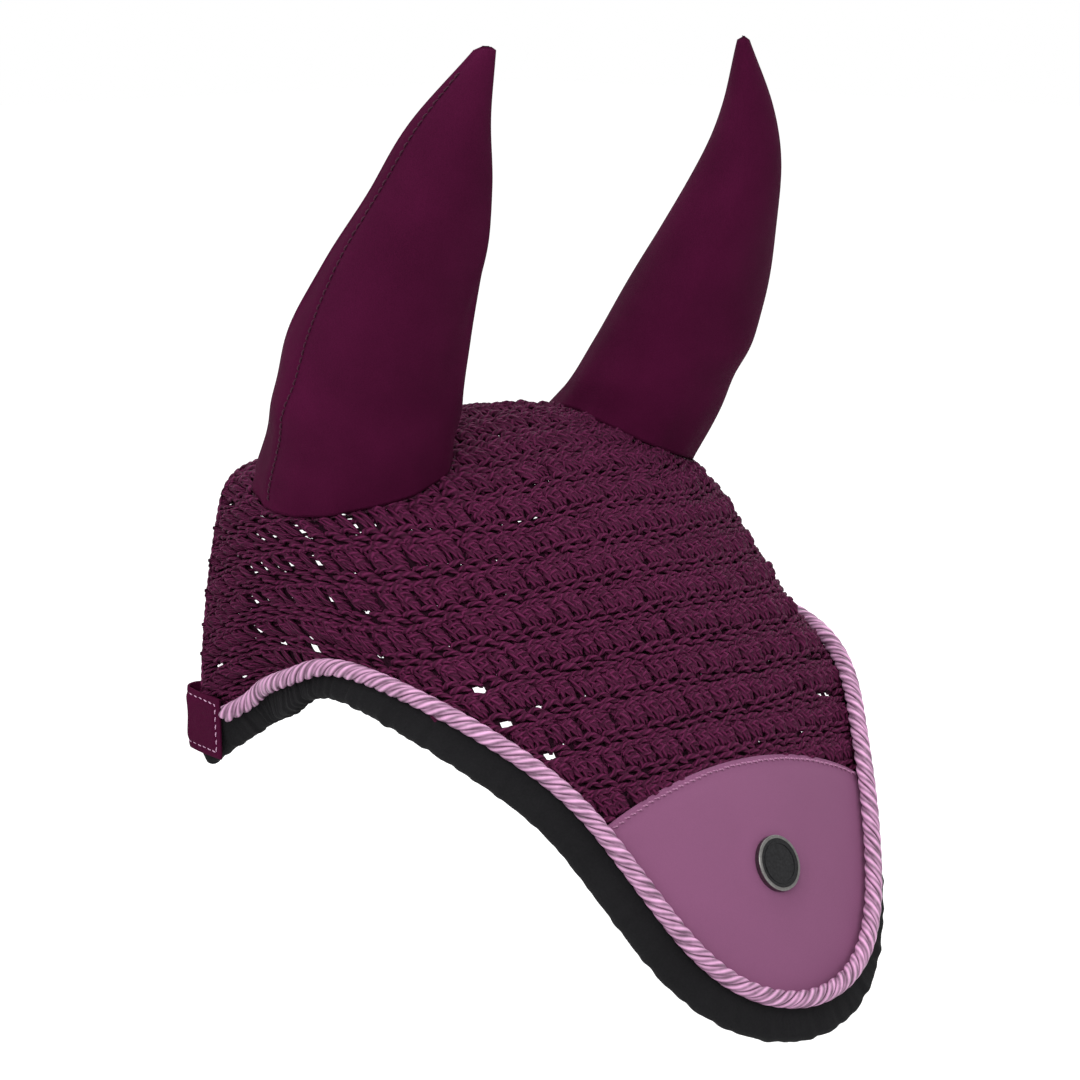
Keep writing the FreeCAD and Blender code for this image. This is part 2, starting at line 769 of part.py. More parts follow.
def check_and_write():
    doc.recompute()
    for thing in doc.Objects:
        if "Invalid" in thing.State or "Error" in thing.State:
            raise ValueError(f"{thing.Name} failed: {thing.State}")
    os.makedirs("parts", exist_ok=True)
    for node in nodes:
        shape = node.Shape
        if shape.isNull() or not shape.isValid():
            raise ValueError(f"{node.Label} has no valid shape")
        shape.exportStep(f"parts/{node.Label}.step")
        box = shape.BoundBox
        print(f"{node.Label:24} solids {len(shape.Solids):3} volume {shape.Volume:9.0f}"
              f"  X {box.XMin:.0f}..{box.XMax:.0f} Y {box.YMin:.0f}..{box.YMax:.0f}"
              f" Z {box.ZMin:.0f}..{box.ZMax:.0f}")


shape_node("crochet_crown", crown_shape())
build_ears()
build_trim()
build_badge()
check_and_write()
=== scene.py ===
import math

import bpy
import numpy as np
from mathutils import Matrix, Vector, kdtree


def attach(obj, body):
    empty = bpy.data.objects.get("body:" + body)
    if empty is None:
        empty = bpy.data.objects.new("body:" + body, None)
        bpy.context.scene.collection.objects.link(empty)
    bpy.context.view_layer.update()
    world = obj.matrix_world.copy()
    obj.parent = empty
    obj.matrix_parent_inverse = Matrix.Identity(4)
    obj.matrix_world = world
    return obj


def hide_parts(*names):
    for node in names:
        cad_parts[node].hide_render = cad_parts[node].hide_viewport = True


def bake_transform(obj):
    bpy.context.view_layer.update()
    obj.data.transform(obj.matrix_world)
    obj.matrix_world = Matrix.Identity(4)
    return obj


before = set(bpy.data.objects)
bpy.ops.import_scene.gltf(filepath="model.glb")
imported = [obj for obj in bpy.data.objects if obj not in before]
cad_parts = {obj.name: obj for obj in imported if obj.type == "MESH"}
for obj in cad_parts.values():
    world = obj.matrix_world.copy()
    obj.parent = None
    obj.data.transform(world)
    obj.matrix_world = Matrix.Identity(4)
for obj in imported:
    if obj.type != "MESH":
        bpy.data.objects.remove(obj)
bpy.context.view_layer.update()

# crocheted fly bonnet, worked out in mm on the head's shape; newPiece turns it to metres
mm = 0.001
scene = bpy.context.scene
scene.view_settings.view_transform = "Standard"
random = np.random.default_rng(11)

view = {"stands": (-1.22047, -1.24047, 0.23383), "looksAt": (0, -0.02, -0.055), "lens": 130, "sensor": 36}


def aimed(name, data, stands, looksAt):
    # a camera or lamp at one spot, turned to face another
    thing = bpy.data.objects.new(name, data)
    scene.collection.objects.link(thing)
    thing.location = stands
    thing.rotation_euler = (Vector(looksAt) - Vector(stands)).to_track_quat("-Z", "Y").to_euler()
    return thing


def makeCamera():
    data = bpy.data.cameras.new("camera")
    data.lens = view["lens"]
    data.sensor_width = view["sensor"]
    scene.camera = aimed("camera", data, view["stands"], view["looksAt"])


makeCamera()


def smoothStep(value, low, high):
    k = np.clip((value - low) / (high - low), 0, 1)
    return k * k * (3 - 2 * k)


def smoothCurve(places, values):
    # a curve through the values whose slope follows its neighbours
    places = np.array(places, float)
    values = np.array(values, float)
    count = np.arange(len(places))
    lo = np.maximum(count - 1, 0)
    hi = np.minimum(count + 1, len(places) - 1)
    slopes = (values[hi] - values[lo]) / (places[hi] - places[lo])

    def curve(at):
        at = np.asarray(at, float)
        i = np.clip(np.searchsorted(places, at) - 1, 0, len(places) - 2)
        span = places[i + 1] - places[i]
        k = (at - places[i]) / span
        rise = values[i + 1] - values[i]
        start = slopes[i] * span
        end = slopes[i + 1] * span
        return values[i] + k * (start + k * (3 * rise - 2 * start - end + k * (start + end - 2 * rise)))

    return curve


def runningLengths(points):
    steps = np.linalg.norm(np.diff(np.array(points, float), axis=0), axis=1)
    return np.concatenate([[0], np.cumsum(steps)])


def unit(vectors):
    return vectors / np.maximum(np.linalg.norm(vectors, axis=-1, keepdims=True), 1e-9)


# the cloth on the head: middle line, how far each section leans back, its flat top's
# radius, and where along the cloth it turns down and by how much
headPlaces = ("back", "up", "lean", "crown", "turnStart", "turnEnd", "wall")
head = {
    "rear edge": (71, -10, 6, 400, 90, 121, 64),
    "behind ears": (37, -2, 9, 290, 98, 143, 60),
    "poll": (2, 1, 17, 230, 100, 151, 53.5),
    "forelock": (-46, -21, 33, 250, 80, 157, 51),
    "brow": (-89.5, -66.5, 61.5, 260, 67, 161.5, 47),
    "forehead": (-126, -118, 70, 310, 77, 170, 38),
    "patch": (-153, -161, 70, 255, 79, 172, 34),
    "past tip": (-187, -250, 69, 220, 80, 172, 41),
}
net = {"start": -16, "end": 406, "step": 2.0, "reach": 264}


def makeNet():
    alongs = np.arange(net["start"], net["end"], net["step"])
    columns = np.array(list(head.values())).T
    places = runningLengths(columns[:2].T)
    at = {what: smoothCurve(places, column)(alongs)[:, None] for what, column in zip(headPlaces, columns)}
    across = (np.arange(net["reach"]) + 0.5)[None, :]
    k = np.clip((across - at["turnStart"]) / (at["turnEnd"] - at["turnStart"]), 0, 1)
    slope = across / at["crown"] + np.radians(at["wall"]) * k ** 3 * (k * (6 * k - 15) + 10)
    middle = np.zeros((len(alongs), 1))
    out = np.hstack([middle, np.cumsum(np.cos(slope), axis=1)])
    down = np.hstack([middle, np.cumsum(np.sin(slope), axis=1)])
    lean = np.radians(at["lean"])
    points = np.stack([out, at["back"] + down * np.sin(lean), at["up"] - down * np.cos(lean)], axis=-1)
    forward = np.gradient(points, net["step"], axis=0)
    sideways = np.gradient(points, axis=1)
    normals = unit(np.cross(forward, sideways))
    normals[:, 0, 0] = 0
    return points, unit(normals), forward, sideways


netPoints, netNormals, netForward, netSideways = makeNet()


def between(values, row, column):
    # a table's value at a spot between its rows and columns
    row = np.clip(row, 0, values.shape[0] - 1.001)
    column = np.clip(column, 0, values.shape[1] - 1.001)
    i = row.astype(int)
    j = column.astype(int)
    p = (row - i)[..., None]
    q = (column - j)[..., None]
    near = values[i, j] * (1 - q) + values[i, j + 1] * q
    far = values[i + 1, j] * (1 - q) + values[i + 1, j + 1] * q
    return near * (1 - p) + far * p


def readNet(values, along, across):
    found = between(values, (along - net["start"]) / net["step"], np.abs(across))
    found[..., 0] *= np.where(across < 0, -1, 1)
    return found


def onCloth(along, across, height=0.0):
    along, across, height = np.broadcast_arrays(*(np.asarray(v, float) for v in (along, across, height)))
    return readNet(netPoints, along, across) + readNet(netNormals, along, across) * height[..., None]


def clothNormal(along, across):
    along, across = np.broadcast_arrays(np.asarray(along, float), np.asarray(across, float))
    return readNet(netNormals, along, across)


# the cord's line in the cloth, (along, across), from the rear corner to the tip
rimLine = [(1, 223), (27, 220.5), (62, 214), (98, 200), (142, 178), (190, 148), (236, 116), (274, 91),
           (312, 74), (346, 57), (366, 39), (376, 19), (379, 0)]
rimWhole = [(along, -across) for along, across in rimLine] + rimLine[-2::-1]
rimLengths = runningLengths(rimWhole)
rimReach = rimLengths[-1] / 2
rimAlong = smoothCurve(rimLengths - rimReach, [along for along, across in rimWhole])
rimAcross = smoothCurve(rimLengths - rimReach, [across for along, across in rimWhole])


def rimSpot(place, outboard=0.0):
    ahead = np.stack([rimAlong(place + 1), rimAcross(place + 1)])
    behind = np.stack([rimAlong(place - 1), rimAcross(place - 1)])
    way = (ahead - behind) / np.linalg.norm(ahead - behind, axis=0)
    return rimAlong(place) + outboard * way[1], rimAcross(place) - outboard * way[0]


# stiff trim evens out the cloth's small turns over this length
rimEvens = np.arange(-12, 13, 4)


def rimFrame(place, outboard=0.0):
    # point on the cord's line, the way off the cloth and the way across the line
    spread = place[None] + rimEvens[:, None]
    point = onCloth(*rimSpot(spread, outboard)).mean(axis=0)
    normal = unit(clothNormal(*rimSpot(spread, outboard)).mean(axis=0))
    ahead = onCloth(*rimSpot(spread + 1, outboard)).mean(axis=0)
    behind = onCloth(*rimSpot(spread - 1, outboard)).mean(axis=0)
    run = unit(ahead - behind)
    return point, normal, unit(np.cross(run, normal))


rimPlaces = np.linspace(-rimReach - 20, rimReach + 20, 481)


def pastRim(along, across):
    # how far a spot in the cloth lies outside the cord's line
    gap = (along[..., None] - rimAlong(rimPlaces)) ** 2 + (across[..., None] - rimAcross(rimPlaces)) ** 2
    nearest = rimPlaces[np.argmin(gap, axis=-1)]
    outAlong, outAcross = rimSpot(nearest, 1.0)
    outAlong = outAlong - rimAlong(nearest)
    outAcross = outAcross - rimAcross(nearest)
    return (along - rimAlong(nearest)) * outAlong + (across - rimAcross(nearest)) * outAcross


print("head's shape laid out, cord's line is", round(2 * rimReach), "mm in the cloth")


def newPiece(name, points, faces, material, uvs=None, smooth=True):
    # faces is a list of index arrays, each with faces of one size
    mesh = bpy.data.meshes.new(name)
    points = np.asarray(points, float).reshape(-1, 3) * mm
    mesh.vertices.add(len(points))
    mesh.vertices.foreach_set("co", points.ravel())
    faces = [np.asarray(some, int) for some in faces if len(some)]
    corners = np.concatenate([some.ravel() for some in faces])
    starts = []
    at = 0
    for some in faces:
        starts.append(at + np.arange(len(some)) * some.shape[1])
        at += some.size
    mesh.loops.add(len(corners))
    mesh.loops.foreach_set("vertex_index", corners)
    starts = np.concatenate(starts)
    mesh.polygons.add(len(starts))
    mesh.polygons.foreach_set("loop_start", starts)
    mesh.update(calc_edges=True)
    mesh.validate()
    mesh.polygons.foreach_set("use_smooth", np.full(len(mesh.polygons), smooth))
    if uvs is not None:
        layer = mesh.uv_layers.new(name="thread")
        layer.data.foreach_set("uv", np.asarray(uvs, float).ravel())
    mesh.materials.append(material)
    piece = bpy.data.objects.new(name, mesh)
    scene.collection.objects.link(piece)
    return piece


def netFaces(rows, columns, closed=False):
    # faces over a net of points, row by row; a closed net's last column joins the first
    i, j = np.meshgrid(np.arange(rows - 1), np.arange(columns if closed else columns - 1), indexing="ij")
    j2 = (j + 1) % columns
    faces = [i * columns + j, i * columns + j2, (i + 1) * columns + j2, (i + 1) * columns + j]
    return np.stack(faces, axis=-1).reshape(-1, 4)


def tubeUvs(rows, columns, lengths):
    # one pair for each corner of a closed net: length down the rows, share of the way round
    i, j = np.meshgrid(np.arange(rows - 1), np.arange(columns), indexing="ij")
    share = 1 / columns
    pairs = [(lengths[i], j * share), (lengths[i], (j + 1) * share),
             (lengths[i + 1], (j + 1) * share), (lengths[i + 1], j * share)]
    return np.stack([np.stack(pair, axis=-1) for pair in pairs], axis=-2).reshape(-1, 2)


def tubeRings(path, radii, sides, up):
    # rings of points round each path; path is (..., rings, 3)
    run = unit(np.gradient(path, axis=-2))
    side = unit(np.cross(run, up))
    lift = np.cross(side, run)
    turn = np.arange(sides) * 2 * math.pi / sides
    ring = side[..., None, :] * np.cos(turn)[:, None] + lift[..., None, :] * np.sin(turn)[:, None]
    return path[..., None, :] + ring * np.broadcast_to(radii, path.shape[:-1])[..., None, None]


def tubesPiece(name, rings, lengths, material):
    # many closed tubes in one piece; rings is (tubes, rings, sides, 3)
    tubes, count, sides = rings.shape[:3]
    oneTube = netFaces(count, sides, closed=True)
    first = np.arange(tubes)[:, None, None] * count * sides
    walls = (oneTube[None] + first).reshape(-1, 4)
    foot = np.arange(sides)[None, ::-1] + np.arange(tubes)[:, None] * count * sides
    top = np.arange(sides)[None] + (np.arange(tubes)[:, None] * count + count - 1) * sides
    wallUvs = np.tile(tubeUvs(count, sides, lengths), (tubes, 1))
    capUvs = np.zeros((foot.size + top.size, 2))
    return newPiece(name, rings, [walls, foot, top], material, np.vstack([wallUvs, capUvs]))


def splineWeights(knots, samples):
    # weights of each knot at evenly spaced places of a smooth curve through them
    weights = np.zeros((samples, knots))
    for k in range(knots):
        bump = np.zeros(knots)
        bump[k] = 1
        weights[:, k] = smoothCurve(np.arange(knots), bump)(np.linspace(0, knots - 1, samples))
    return weights


def nodeMaterial(name, colour, roughness, sheen=0.0, specular=0.5):
    material = bpy.data.materials.new(name)
    material.use_nodes = True
    shader = material.node_tree.nodes["Principled BSDF"]
    shader.inputs["Base Color"].default_value = (*colour, 1)
    shader.inputs["Roughness"].default_value = roughness
    shader.inputs["Sheen Weight"].default_value = sheen
    shader.inputs["Sheen Roughness"].default_value = 0.4
    shader.inputs["Sheen Tint"].default_value = (*(0.4 + 0.6 * c for c in colour), 1)
    shader.inputs["Specular IOR Level"].default_value = specular
    return material, material.node_tree, shader


def addNode(tree, kind, **settings):
    node = tree.nodes.new(kind)
    for what, value in settings.items():
        if hasattr(node, what):
            setattr(node, what, value)
        else:
            node.inputs[what].default_value = value
    return node


def calculate(tree, how, a, b=0.0, c=0.0):
    node = tree.nodes.new("ShaderNodeMath")
    node.operation = how
    for socket, value in zip(node.inputs, (a, b, c)):
        if isinstance(value, (int, float)):
            socket.default_value = value
        else:
            tree.links.new(value, socket)
    return node.outputs[0]


def coloured(tree, shader, factor, colour, shades, places=(0.3, 0.7)):
    # the colour goes from darker to paler shades of itself with the factor
    ramp = tree.nodes.new("ShaderNodeValToRGB")
    for end, place, by in zip(ramp.color_ramp.elements, places, shades):
        end.position = place
        end.color = (*(min(c * by, 1) for c in colour), 1)
    tree.links.new(factor, ramp.inputs[0])
    tree.links.new(ramp.outputs[0], shader.inputs["Base Color"])


def bumped(tree, shader, height, distance, strength=1.0):
    bump = tree.nodes.new("ShaderNodeBump")
    bump.inputs["Distance"].default_value = distance
    bump.inputs["Strength"].default_value = strength
    tree.links.new(height, bump.inputs["Height"])
    tree.links.new(bump.outputs[0], shader.inputs["Normal"])


def noiseOver(tree, place, scale, detail):
    noise = addNode(tree, "ShaderNodeTexNoise", Scale=scale, Detail=detail)
    tree.links.new(place.outputs["Object"], noise.inputs["Vector"])
    return noise.outputs[0]


def yarnMaterial(name, colour, plies, pitch, roughness, depth, sheen=0.0, contrast=0.55, specular=0.12,
                 darkest=0.5, palest=1.35, outer=0.25, grooveShade=0.0):
    # plies twist round each strand: bands over the thread's length and the way round it, which give the bump
    # and also painted shade in the dips between plies with paler crests; outer is the share of the way round
    # that faces outwards, and grooveShade is painted shade on the side opposite it, in the grooves
    material, tree, shader = nodeMaterial(name, colour, roughness, sheen, specular)
    thread = addNode(tree, "ShaderNodeUVMap", uv_map="thread")
    split = tree.nodes.new("ShaderNodeSeparateXYZ")
    tree.links.new(thread.outputs[0], split.inputs[0])
    turns = calculate(tree, "MULTIPLY_ADD", split.outputs[0], 1 / pitch,
                      calculate(tree, "MULTIPLY", split.outputs[1], plies))
    wave = calculate(tree, "SINE", calculate(tree, "MULTIPLY", turns, 2 * math.pi))
    height = calculate(tree, "MULTIPLY_ADD", wave, 0.5, 0.5)
    place = tree.nodes.new("ShaderNodeTexCoord")
    blotch = noiseOver(tree, place, 160.0, 3.0)
    fibre = noiseOver(tree, place, 2600.0, 2.0)
    # painted highlight and shade: the ply bands pale the crests and darken the dips, mixed with random
    # blotches of tone
    mixed = calculate(tree, "MULTIPLY_ADD", height, contrast,
                      calculate(tree, "MULTIPLY", blotch, 1 - contrast))
    # painted shade in the grooves: the side of each strand that faces inwards, away from outer, is darkened
    # by grooveShade
    paintedGrooveShade = calculate(tree, "COSINE", calculate(tree, "MULTIPLY_ADD", split.outputs[1],
                                                         2 * math.pi, -2 * math.pi * outer))
    paintedGrooveShade = calculate(tree, "MULTIPLY_ADD", paintedGrooveShade, grooveShade / 2, 1 - grooveShade / 2)
    mixed = calculate(tree, "MULTIPLY", mixed, paintedGrooveShade)
    # darkest and palest spread the painted shade and highlight of the plies and grooves
    coloured(tree, shader, mixed, colour, (darkest, palest), (0.1, 0.9))
    rough = calculate(tree, "MULTIPLY_ADD", fibre, 0.35, height)
    bumped(tree, shader, rough, depth)
    return material


def clothMaterial(name, colour, roughness, thread, depth, sheen=0.0, vary=0.12, specular=0.1):
    # a fine cloth: crossed threads in the bump, slow blotches in the colour
    material, tree, shader = nodeMaterial(name, colour, roughness, sheen, specular)
    place = tree.nodes.new("ShaderNodeTexCoord")
    blotch = noiseOver(tree, place, 22.0, 4.0)
    fleck = noiseOver(tree, place, 1.3 / thread, 2.0)
    both = calculate(tree, "MULTIPLY_ADD", fleck, 0.45,
                     calculate(tree, "MULTIPLY", blotch, 0.55))
    coloured(tree, shader, both, colour, (1 - vary, 1 + vary))
    weave = None
    for way in ("X", "Z"):
        wave = addNode(tree, "ShaderNodeTexWave", bands_direction=way, Scale=1 / thread, Distortion=1.2)
        tree.links.new(place.outputs["Object"], wave.inputs["Vector"])
        weave = wave.outputs[1] if weave is None else calculate(tree, "ADD", weave, wave.outputs[1])
    height = calculate(tree, "ADD", weave, fleck)
    bumped(tree, shader, height, depth)
    return material


# crochet yarn: the plies and grooves carry painted shade, deep under the strands and in the dips between
# plies
plum = yarnMaterial("crochet yarn", (0.082, 0.0095, 0.041), plies=3, pitch=3.2, roughness=0.7, depth=0.6 * mm,
                    contrast=0.5, specular=0.1, darkest=0.3, palest=1.75, grooveShade=0.7)
# satin cord: darkest and palest paint deep shade in the grooves between its strands and pale highlights on
# the ply crests
satin = yarnMaterial("satin cord", (0.66, 0.33, 0.53), plies=4, pitch=24.0, roughness=0.34, depth=0.16 * mm,
                     contrast=0.45, specular=0.25, darkest=0.1, palest=1.6, outer=0.0, grooveShade=1.0)
# the backs of the stitches: their colour, darker than the yarn, is painted shade, as the inside of the bonnet
# lies in shade behind the gaps
shadedBacksPlum = clothMaterial("crochet backs, painted shade", (0.03, 0.006, 0.017), roughness=0.9, thread=1.6 * mm,
                           depth=0.3 * mm)
smooth = {"roughness": 0.75, "thread": 0.6 * mm, "specular": 0.03}
earPlum = clothMaterial("ear cloth", (0.07, 0.0052, 0.031), depth=0.07 * mm, vary=0.34, **smooth)
tabPlum = clothMaterial("tab cloth", (0.078, 0.0062, 0.034), depth=0.08 * mm, vary=0.16, **smooth)
mauve = clothMaterial("patch cloth", (0.245, 0.088, 0.182), roughness=0.72, sheen=0.05, thread=0.8 * mm,
                      depth=0.04 * mm, vary=0.06, specular=0.15)
blackTape = clothMaterial("edge tape cloth", (0.0125, 0.0122, 0.0135), roughness=0.85, sheen=0.02,
                          thread=1.1 * mm, depth=0.12 * mm, vary=0.3)
sewing = {"plies": 2, "pitch": 1.2, "depth": 0.05 * mm}
paleThread = yarnMaterial("pale thread", (0.72, 0.42, 0.62), roughness=0.5, sheen=0.2, **sewing)
patchThread = yarnMaterial("patch thread", (0.4, 0.18, 0.31), roughness=0.5, sheen=0.1, **sewing)
plumThread = yarnMaterial("plum thread", (0.045, 0.006, 0.022), roughness=0.55, sheen=0.2, **sewing)
print("cloths and yarns mixed")

# ears: level sections of the left ear: height, its middle outwards and back, half widths
# across the fold and through it, and how sharp its two edges are
earSections = {
    "root": (-52, 76, 26, 34, 34, 1.0), "base": (-24, 82, 15, 42, 42, 1.0),
    "neck": (8, 90, -3, 39.5, 39.5, 1.05), "belly": (45, 95.5, -21, 38.5, 34.5, 1.18),
    "shoulder": (80, 97.5, -38, 34.5, 26, 1.25), "upper": (110, 96, -51.5, 25.5, 18.5, 1.25),
    "point": (138, 91.5, -60, 16, 11.5, 1.15), "tip": (167, 80, -68, 4.4, 2.8, 1.0),
}
ear = {"rings": 96, "around": 120, "cloth": 1.1, "stitchTurn": 34, "onCrown": 1.2,
       "bends": (-0.034, 0.052), "leastHalf": 0.4, "footLow": -52.0, "footHigh": 40.0, "seamTop": 158}
diagonal = math.sqrt(0.5)
earTurns = np.arange(ear["around"]) * 2 * math.pi / ear["around"]
earColumns = np.array(list(earSections.values())).T
earCurves = [smoothCurve(earColumns[0], column) for column in earColumns[1:]]


def earPoint(side, up, turn, stand=0.0):
    out, back, wide, deep, edge = (curve(up) for curve in earCurves)
    c = np.cos(turn)
    s = np.sin(turn)
    across = np.maximum(wide + stand, ear["leastHalf"]) * c
    through = np.maximum(deep + stand, ear["leastHalf"]) * np.sign(s) * np.abs(s) ** edge
    return np.stack(np.broadcast_arrays(side * (out + diagonal * (across + through)),
                                        back + diagonal * (across - through), up), axis=-1)


def clothTree():
    # the part of the cloth that the ears stand on
    along, across = np.meshgrid(np.arange(-10, 190, 2.5), np.arange(-190, 191, 2.5), indexing="ij")
    points = onCloth(along, across).reshape(-1, 3)
    normals = clothNormal(along, across).reshape(-1, 3)
    tree = kdtree.KDTree(len(points))
    for i, point in enumerate(points):
        tree.insert(point, i)
    tree.balance()
    return tree, points, normals


headTree, treePoints, treeNormals = clothTree()


def overCloth(point):
    nearest = headTree.find(point)[1]
    return float(np.dot(np.asarray(point) - treePoints[nearest], treeNormals[nearest]))


def earFoot(side, turns, stand, over):
    # heights where the ear comes down to the cloth, found by halving and evened out
    heights = []
    for turn in turns:
        low, high = ear["footLow"], ear["footHigh"]
        for halving in range(16):
            up = (low + high) / 2
            if overCloth(earPoint(side, up, turn, stand)) > over:
                high = up
            else:
                low = up
        heights.append(high)
    heights = np.array(heights)
    for smoothing in range(3):
        heights = (np.roll(heights, 1) + 2 * heights + np.roll(heights, -1)) / 4
    return heights


def inEarHole(points, margin):
    # points of the head that an ear's foot covers
    up = np.clip(points[..., 2], ear["footLow"], 60)
    out, back, wide, deep = (curve(up) for curve in earCurves[:4])
    x = np.abs(points[..., 0]) - out
    y = points[..., 1] - back
    return ((x + y) * diagonal / (wide - margin)) ** 2 + ((x - y) * diagonal / (deep - margin)) ** 2 < 1


# crochet: rows run level across the forehead and back along each side to the rear edge
crochet = {
    "rowPitch": 8.9, "stitchPitch": 8.3, "firstRow": 6, "levelTo": 35, "besideFrom": 95,
    "sideStart": 91, "sideScale": 0.97, "fallBack": 0.355, "crowding": 0.35,
    "rows": 44, "places": 42, "rearFrom": -2.5, "tipTo": 384, "pastCord": 3, "underEar": 5,
    "strand": 1.32, "rings": 9, "sides": 6, "taper": (0.12, 0.88), "fullness": 0.35,
    "pull": (0.07, 0.06, 0.35), "wander": (0.04, 0.04, 0.18), "uneven": 0.09,
    "beside": 62, "browFrom": 120, "foreheadFrom": 215,
}
rowTable = {"start": -10, "end": 396, "step": 2.0, "stride": 2.0, "strides": 180}


def rowOf(along, across):
    point = readNet(netPoints, along, np.abs(across))
    beside = smoothStep(point[..., 0], crochet["levelTo"], crochet["besideFrom"])
    crowding = 1 + crochet["crowding"] * smoothStep(point[..., 1], -60, 40)
    level = point[..., 2] + crochet["fallBack"] * point[..., 1]
    side = crochet["sideStart"] - crochet["sideScale"] * level * crowding
    return along * (1 - beside) + side * beside


def rowHeading(along, across):
    # the way along a row at a spot in the cloth, for one mm
    perAlong = (rowOf(along + 1, across) - rowOf(along - 1, across)) / 2
    perAcross = (rowOf(along, across + 1) - rowOf(along, np.maximum(across - 1, 0))) / 2
    perAlong = np.maximum(perAlong, 0.15)
    step = (-perAcross[..., None] * readNet(netForward, along, across)
            + perAlong[..., None] * readNet(netSideways, along, across))
    length = np.linalg.norm(step, axis=-1)
    return -perAcross / length, perAlong / length


def traceRows():
    along = np.arange(rowTable["start"], rowTable["end"], rowTable["step"], dtype=float)
    across = np.zeros_like(along)
    alongs = [along]
    acrosses = [across]
    half = rowTable["stride"] / 2
    for stride in range(rowTable["strides"]):
        a, c = rowHeading(along, across)
        a, c = rowHeading(along + a * half, across + c * half)
        along = np.clip(along + a * rowTable["stride"], net["start"], net["end"] - 4)
        across = across + c * rowTable["stride"]
        alongs.append(along)
        acrosses.append(across)
    return np.stack(alongs, axis=1)[..., None], np.stack(acrosses, axis=1)[..., None]


tracedAlong, tracedAcross = traceRows()


def readTrace(values, row, place):
    row = (row - rowTable["start"]) / rowTable["step"]
    return between(values, row, np.abs(place) / rowTable["stride"])[..., 0]


def rowSpot(row, place):
    along = readTrace(tracedAlong, row, place)
    across = readTrace(tracedAcross, row, place) * np.where(place < 0, -1, 1)
    return along, across


patch = {"top": 272, "corner": 289, "halfWide": 82, "thick": 1.1, "gap": 0.35, "stitchInset": 2.6,
         "badge": 320, "badgeRadius": 12.3, "pastCord": 2.2, "tipCut": 26, "deep": 60, "rows": 70,
         "columns": 90, "hides": (-3, 2), "sinks": 1.3, "flattens": 0.3}


def patchTopAt(across):
    # the patch's upper edge in the cloth, a bow from side to side
    return patch["top"] + (patch["corner"] - patch["top"]) * (across / patch["halfWide"]) ** 2


# a twisted edging finishes the rear edge between the tabs
edging = {"along": 2.6, "reach": 213, "strand": 1.5, "offset": 1.0, "lay": 11.0, "height": -0.9,
          "strands": 3, "sides": 8, "clear": 2}


def toHead(points):
    # points given as (place along the row, row, height) go onto the head
    along, across = rowSpot(points[..., 1], points[..., 0])
    along = np.maximum(along, edging["along"] + edging["clear"])
    height = points[..., 2]
    hidden = smoothStep(along - patchTopAt(across), *patch["hides"])
    height = height - hidden * (patch["sinks"] + patch["flattens"] * np.maximum(height, 0))
    return onCloth(along, across, height)


def stitchCells():
    places = np.arange(-crochet["places"], crochet["places"])
    row, place = np.meshgrid(np.arange(crochet["rows"]), places, indexing="ij")
    row = row.ravel()
    start = (place.ravel() + 0.5 * (row // 2 % 2)) * crochet["stitchPitch"]
    level = crochet["firstRow"] + row * crochet["rowPitch"]
    along, across = rowSpot(level + crochet["rowPitch"] / 2, start + crochet["stitchPitch"] / 2)
    spot = onCloth(along, across)
    keep = (along > crochet["rearFrom"]) & (along < crochet["tipTo"])
    keep &= (pastRim(along, across) < crochet["pastCord"]) & ~inEarHole(spot, crochet["underEar"])
    return row[keep], start[keep], level[keep], along[keep], across[keep], spot[keep]


cellRow, cellStart, cellLevel, cellAlong, cellAcross, cellSpot = stitchCells()
tallRow = cellRow % 2 == 0
fromMiddle = np.abs(cellSpot[:, 0])
# below the ears some stitches of the tall rows stand apart and leave a slot
slots = {"outFrom": (80, 105), "middle": 12, "reach": (-60, -20), "luck": (0.4, 1.2), "open": 0.78}
besideEar = (smoothStep(fromMiddle, *slots["outFrom"])
             * smoothStep(-np.abs(cellSpot[:, 1] - slots["middle"]), *slots["reach"]))
slotted = tallRow & (besideEar * random.uniform(*slots["luck"], len(cellRow)) > slots["open"])
# and along the rim some of the short rows leave a round hole
holes = {"nearest": 9, "farthest": 26, "share": 0.22}
fromRim = -pastRim(cellAlong, cellAcross)
holed = ((fromRim > holes["nearest"]) & (fromRim < holes["farthest"]) & (fromMiddle > crochet["beside"])
         & ~tallRow & (random.uniform(0, 1, len(cellRow)) < holes["share"]))
# each stitch is pulled its own way: along the row, across it and up
pulled = random.normal(0, 1, (len(cellRow), 1, 3)) * np.array(crochet["pull"])
print("crochet has", len(cellRow), "stitches")

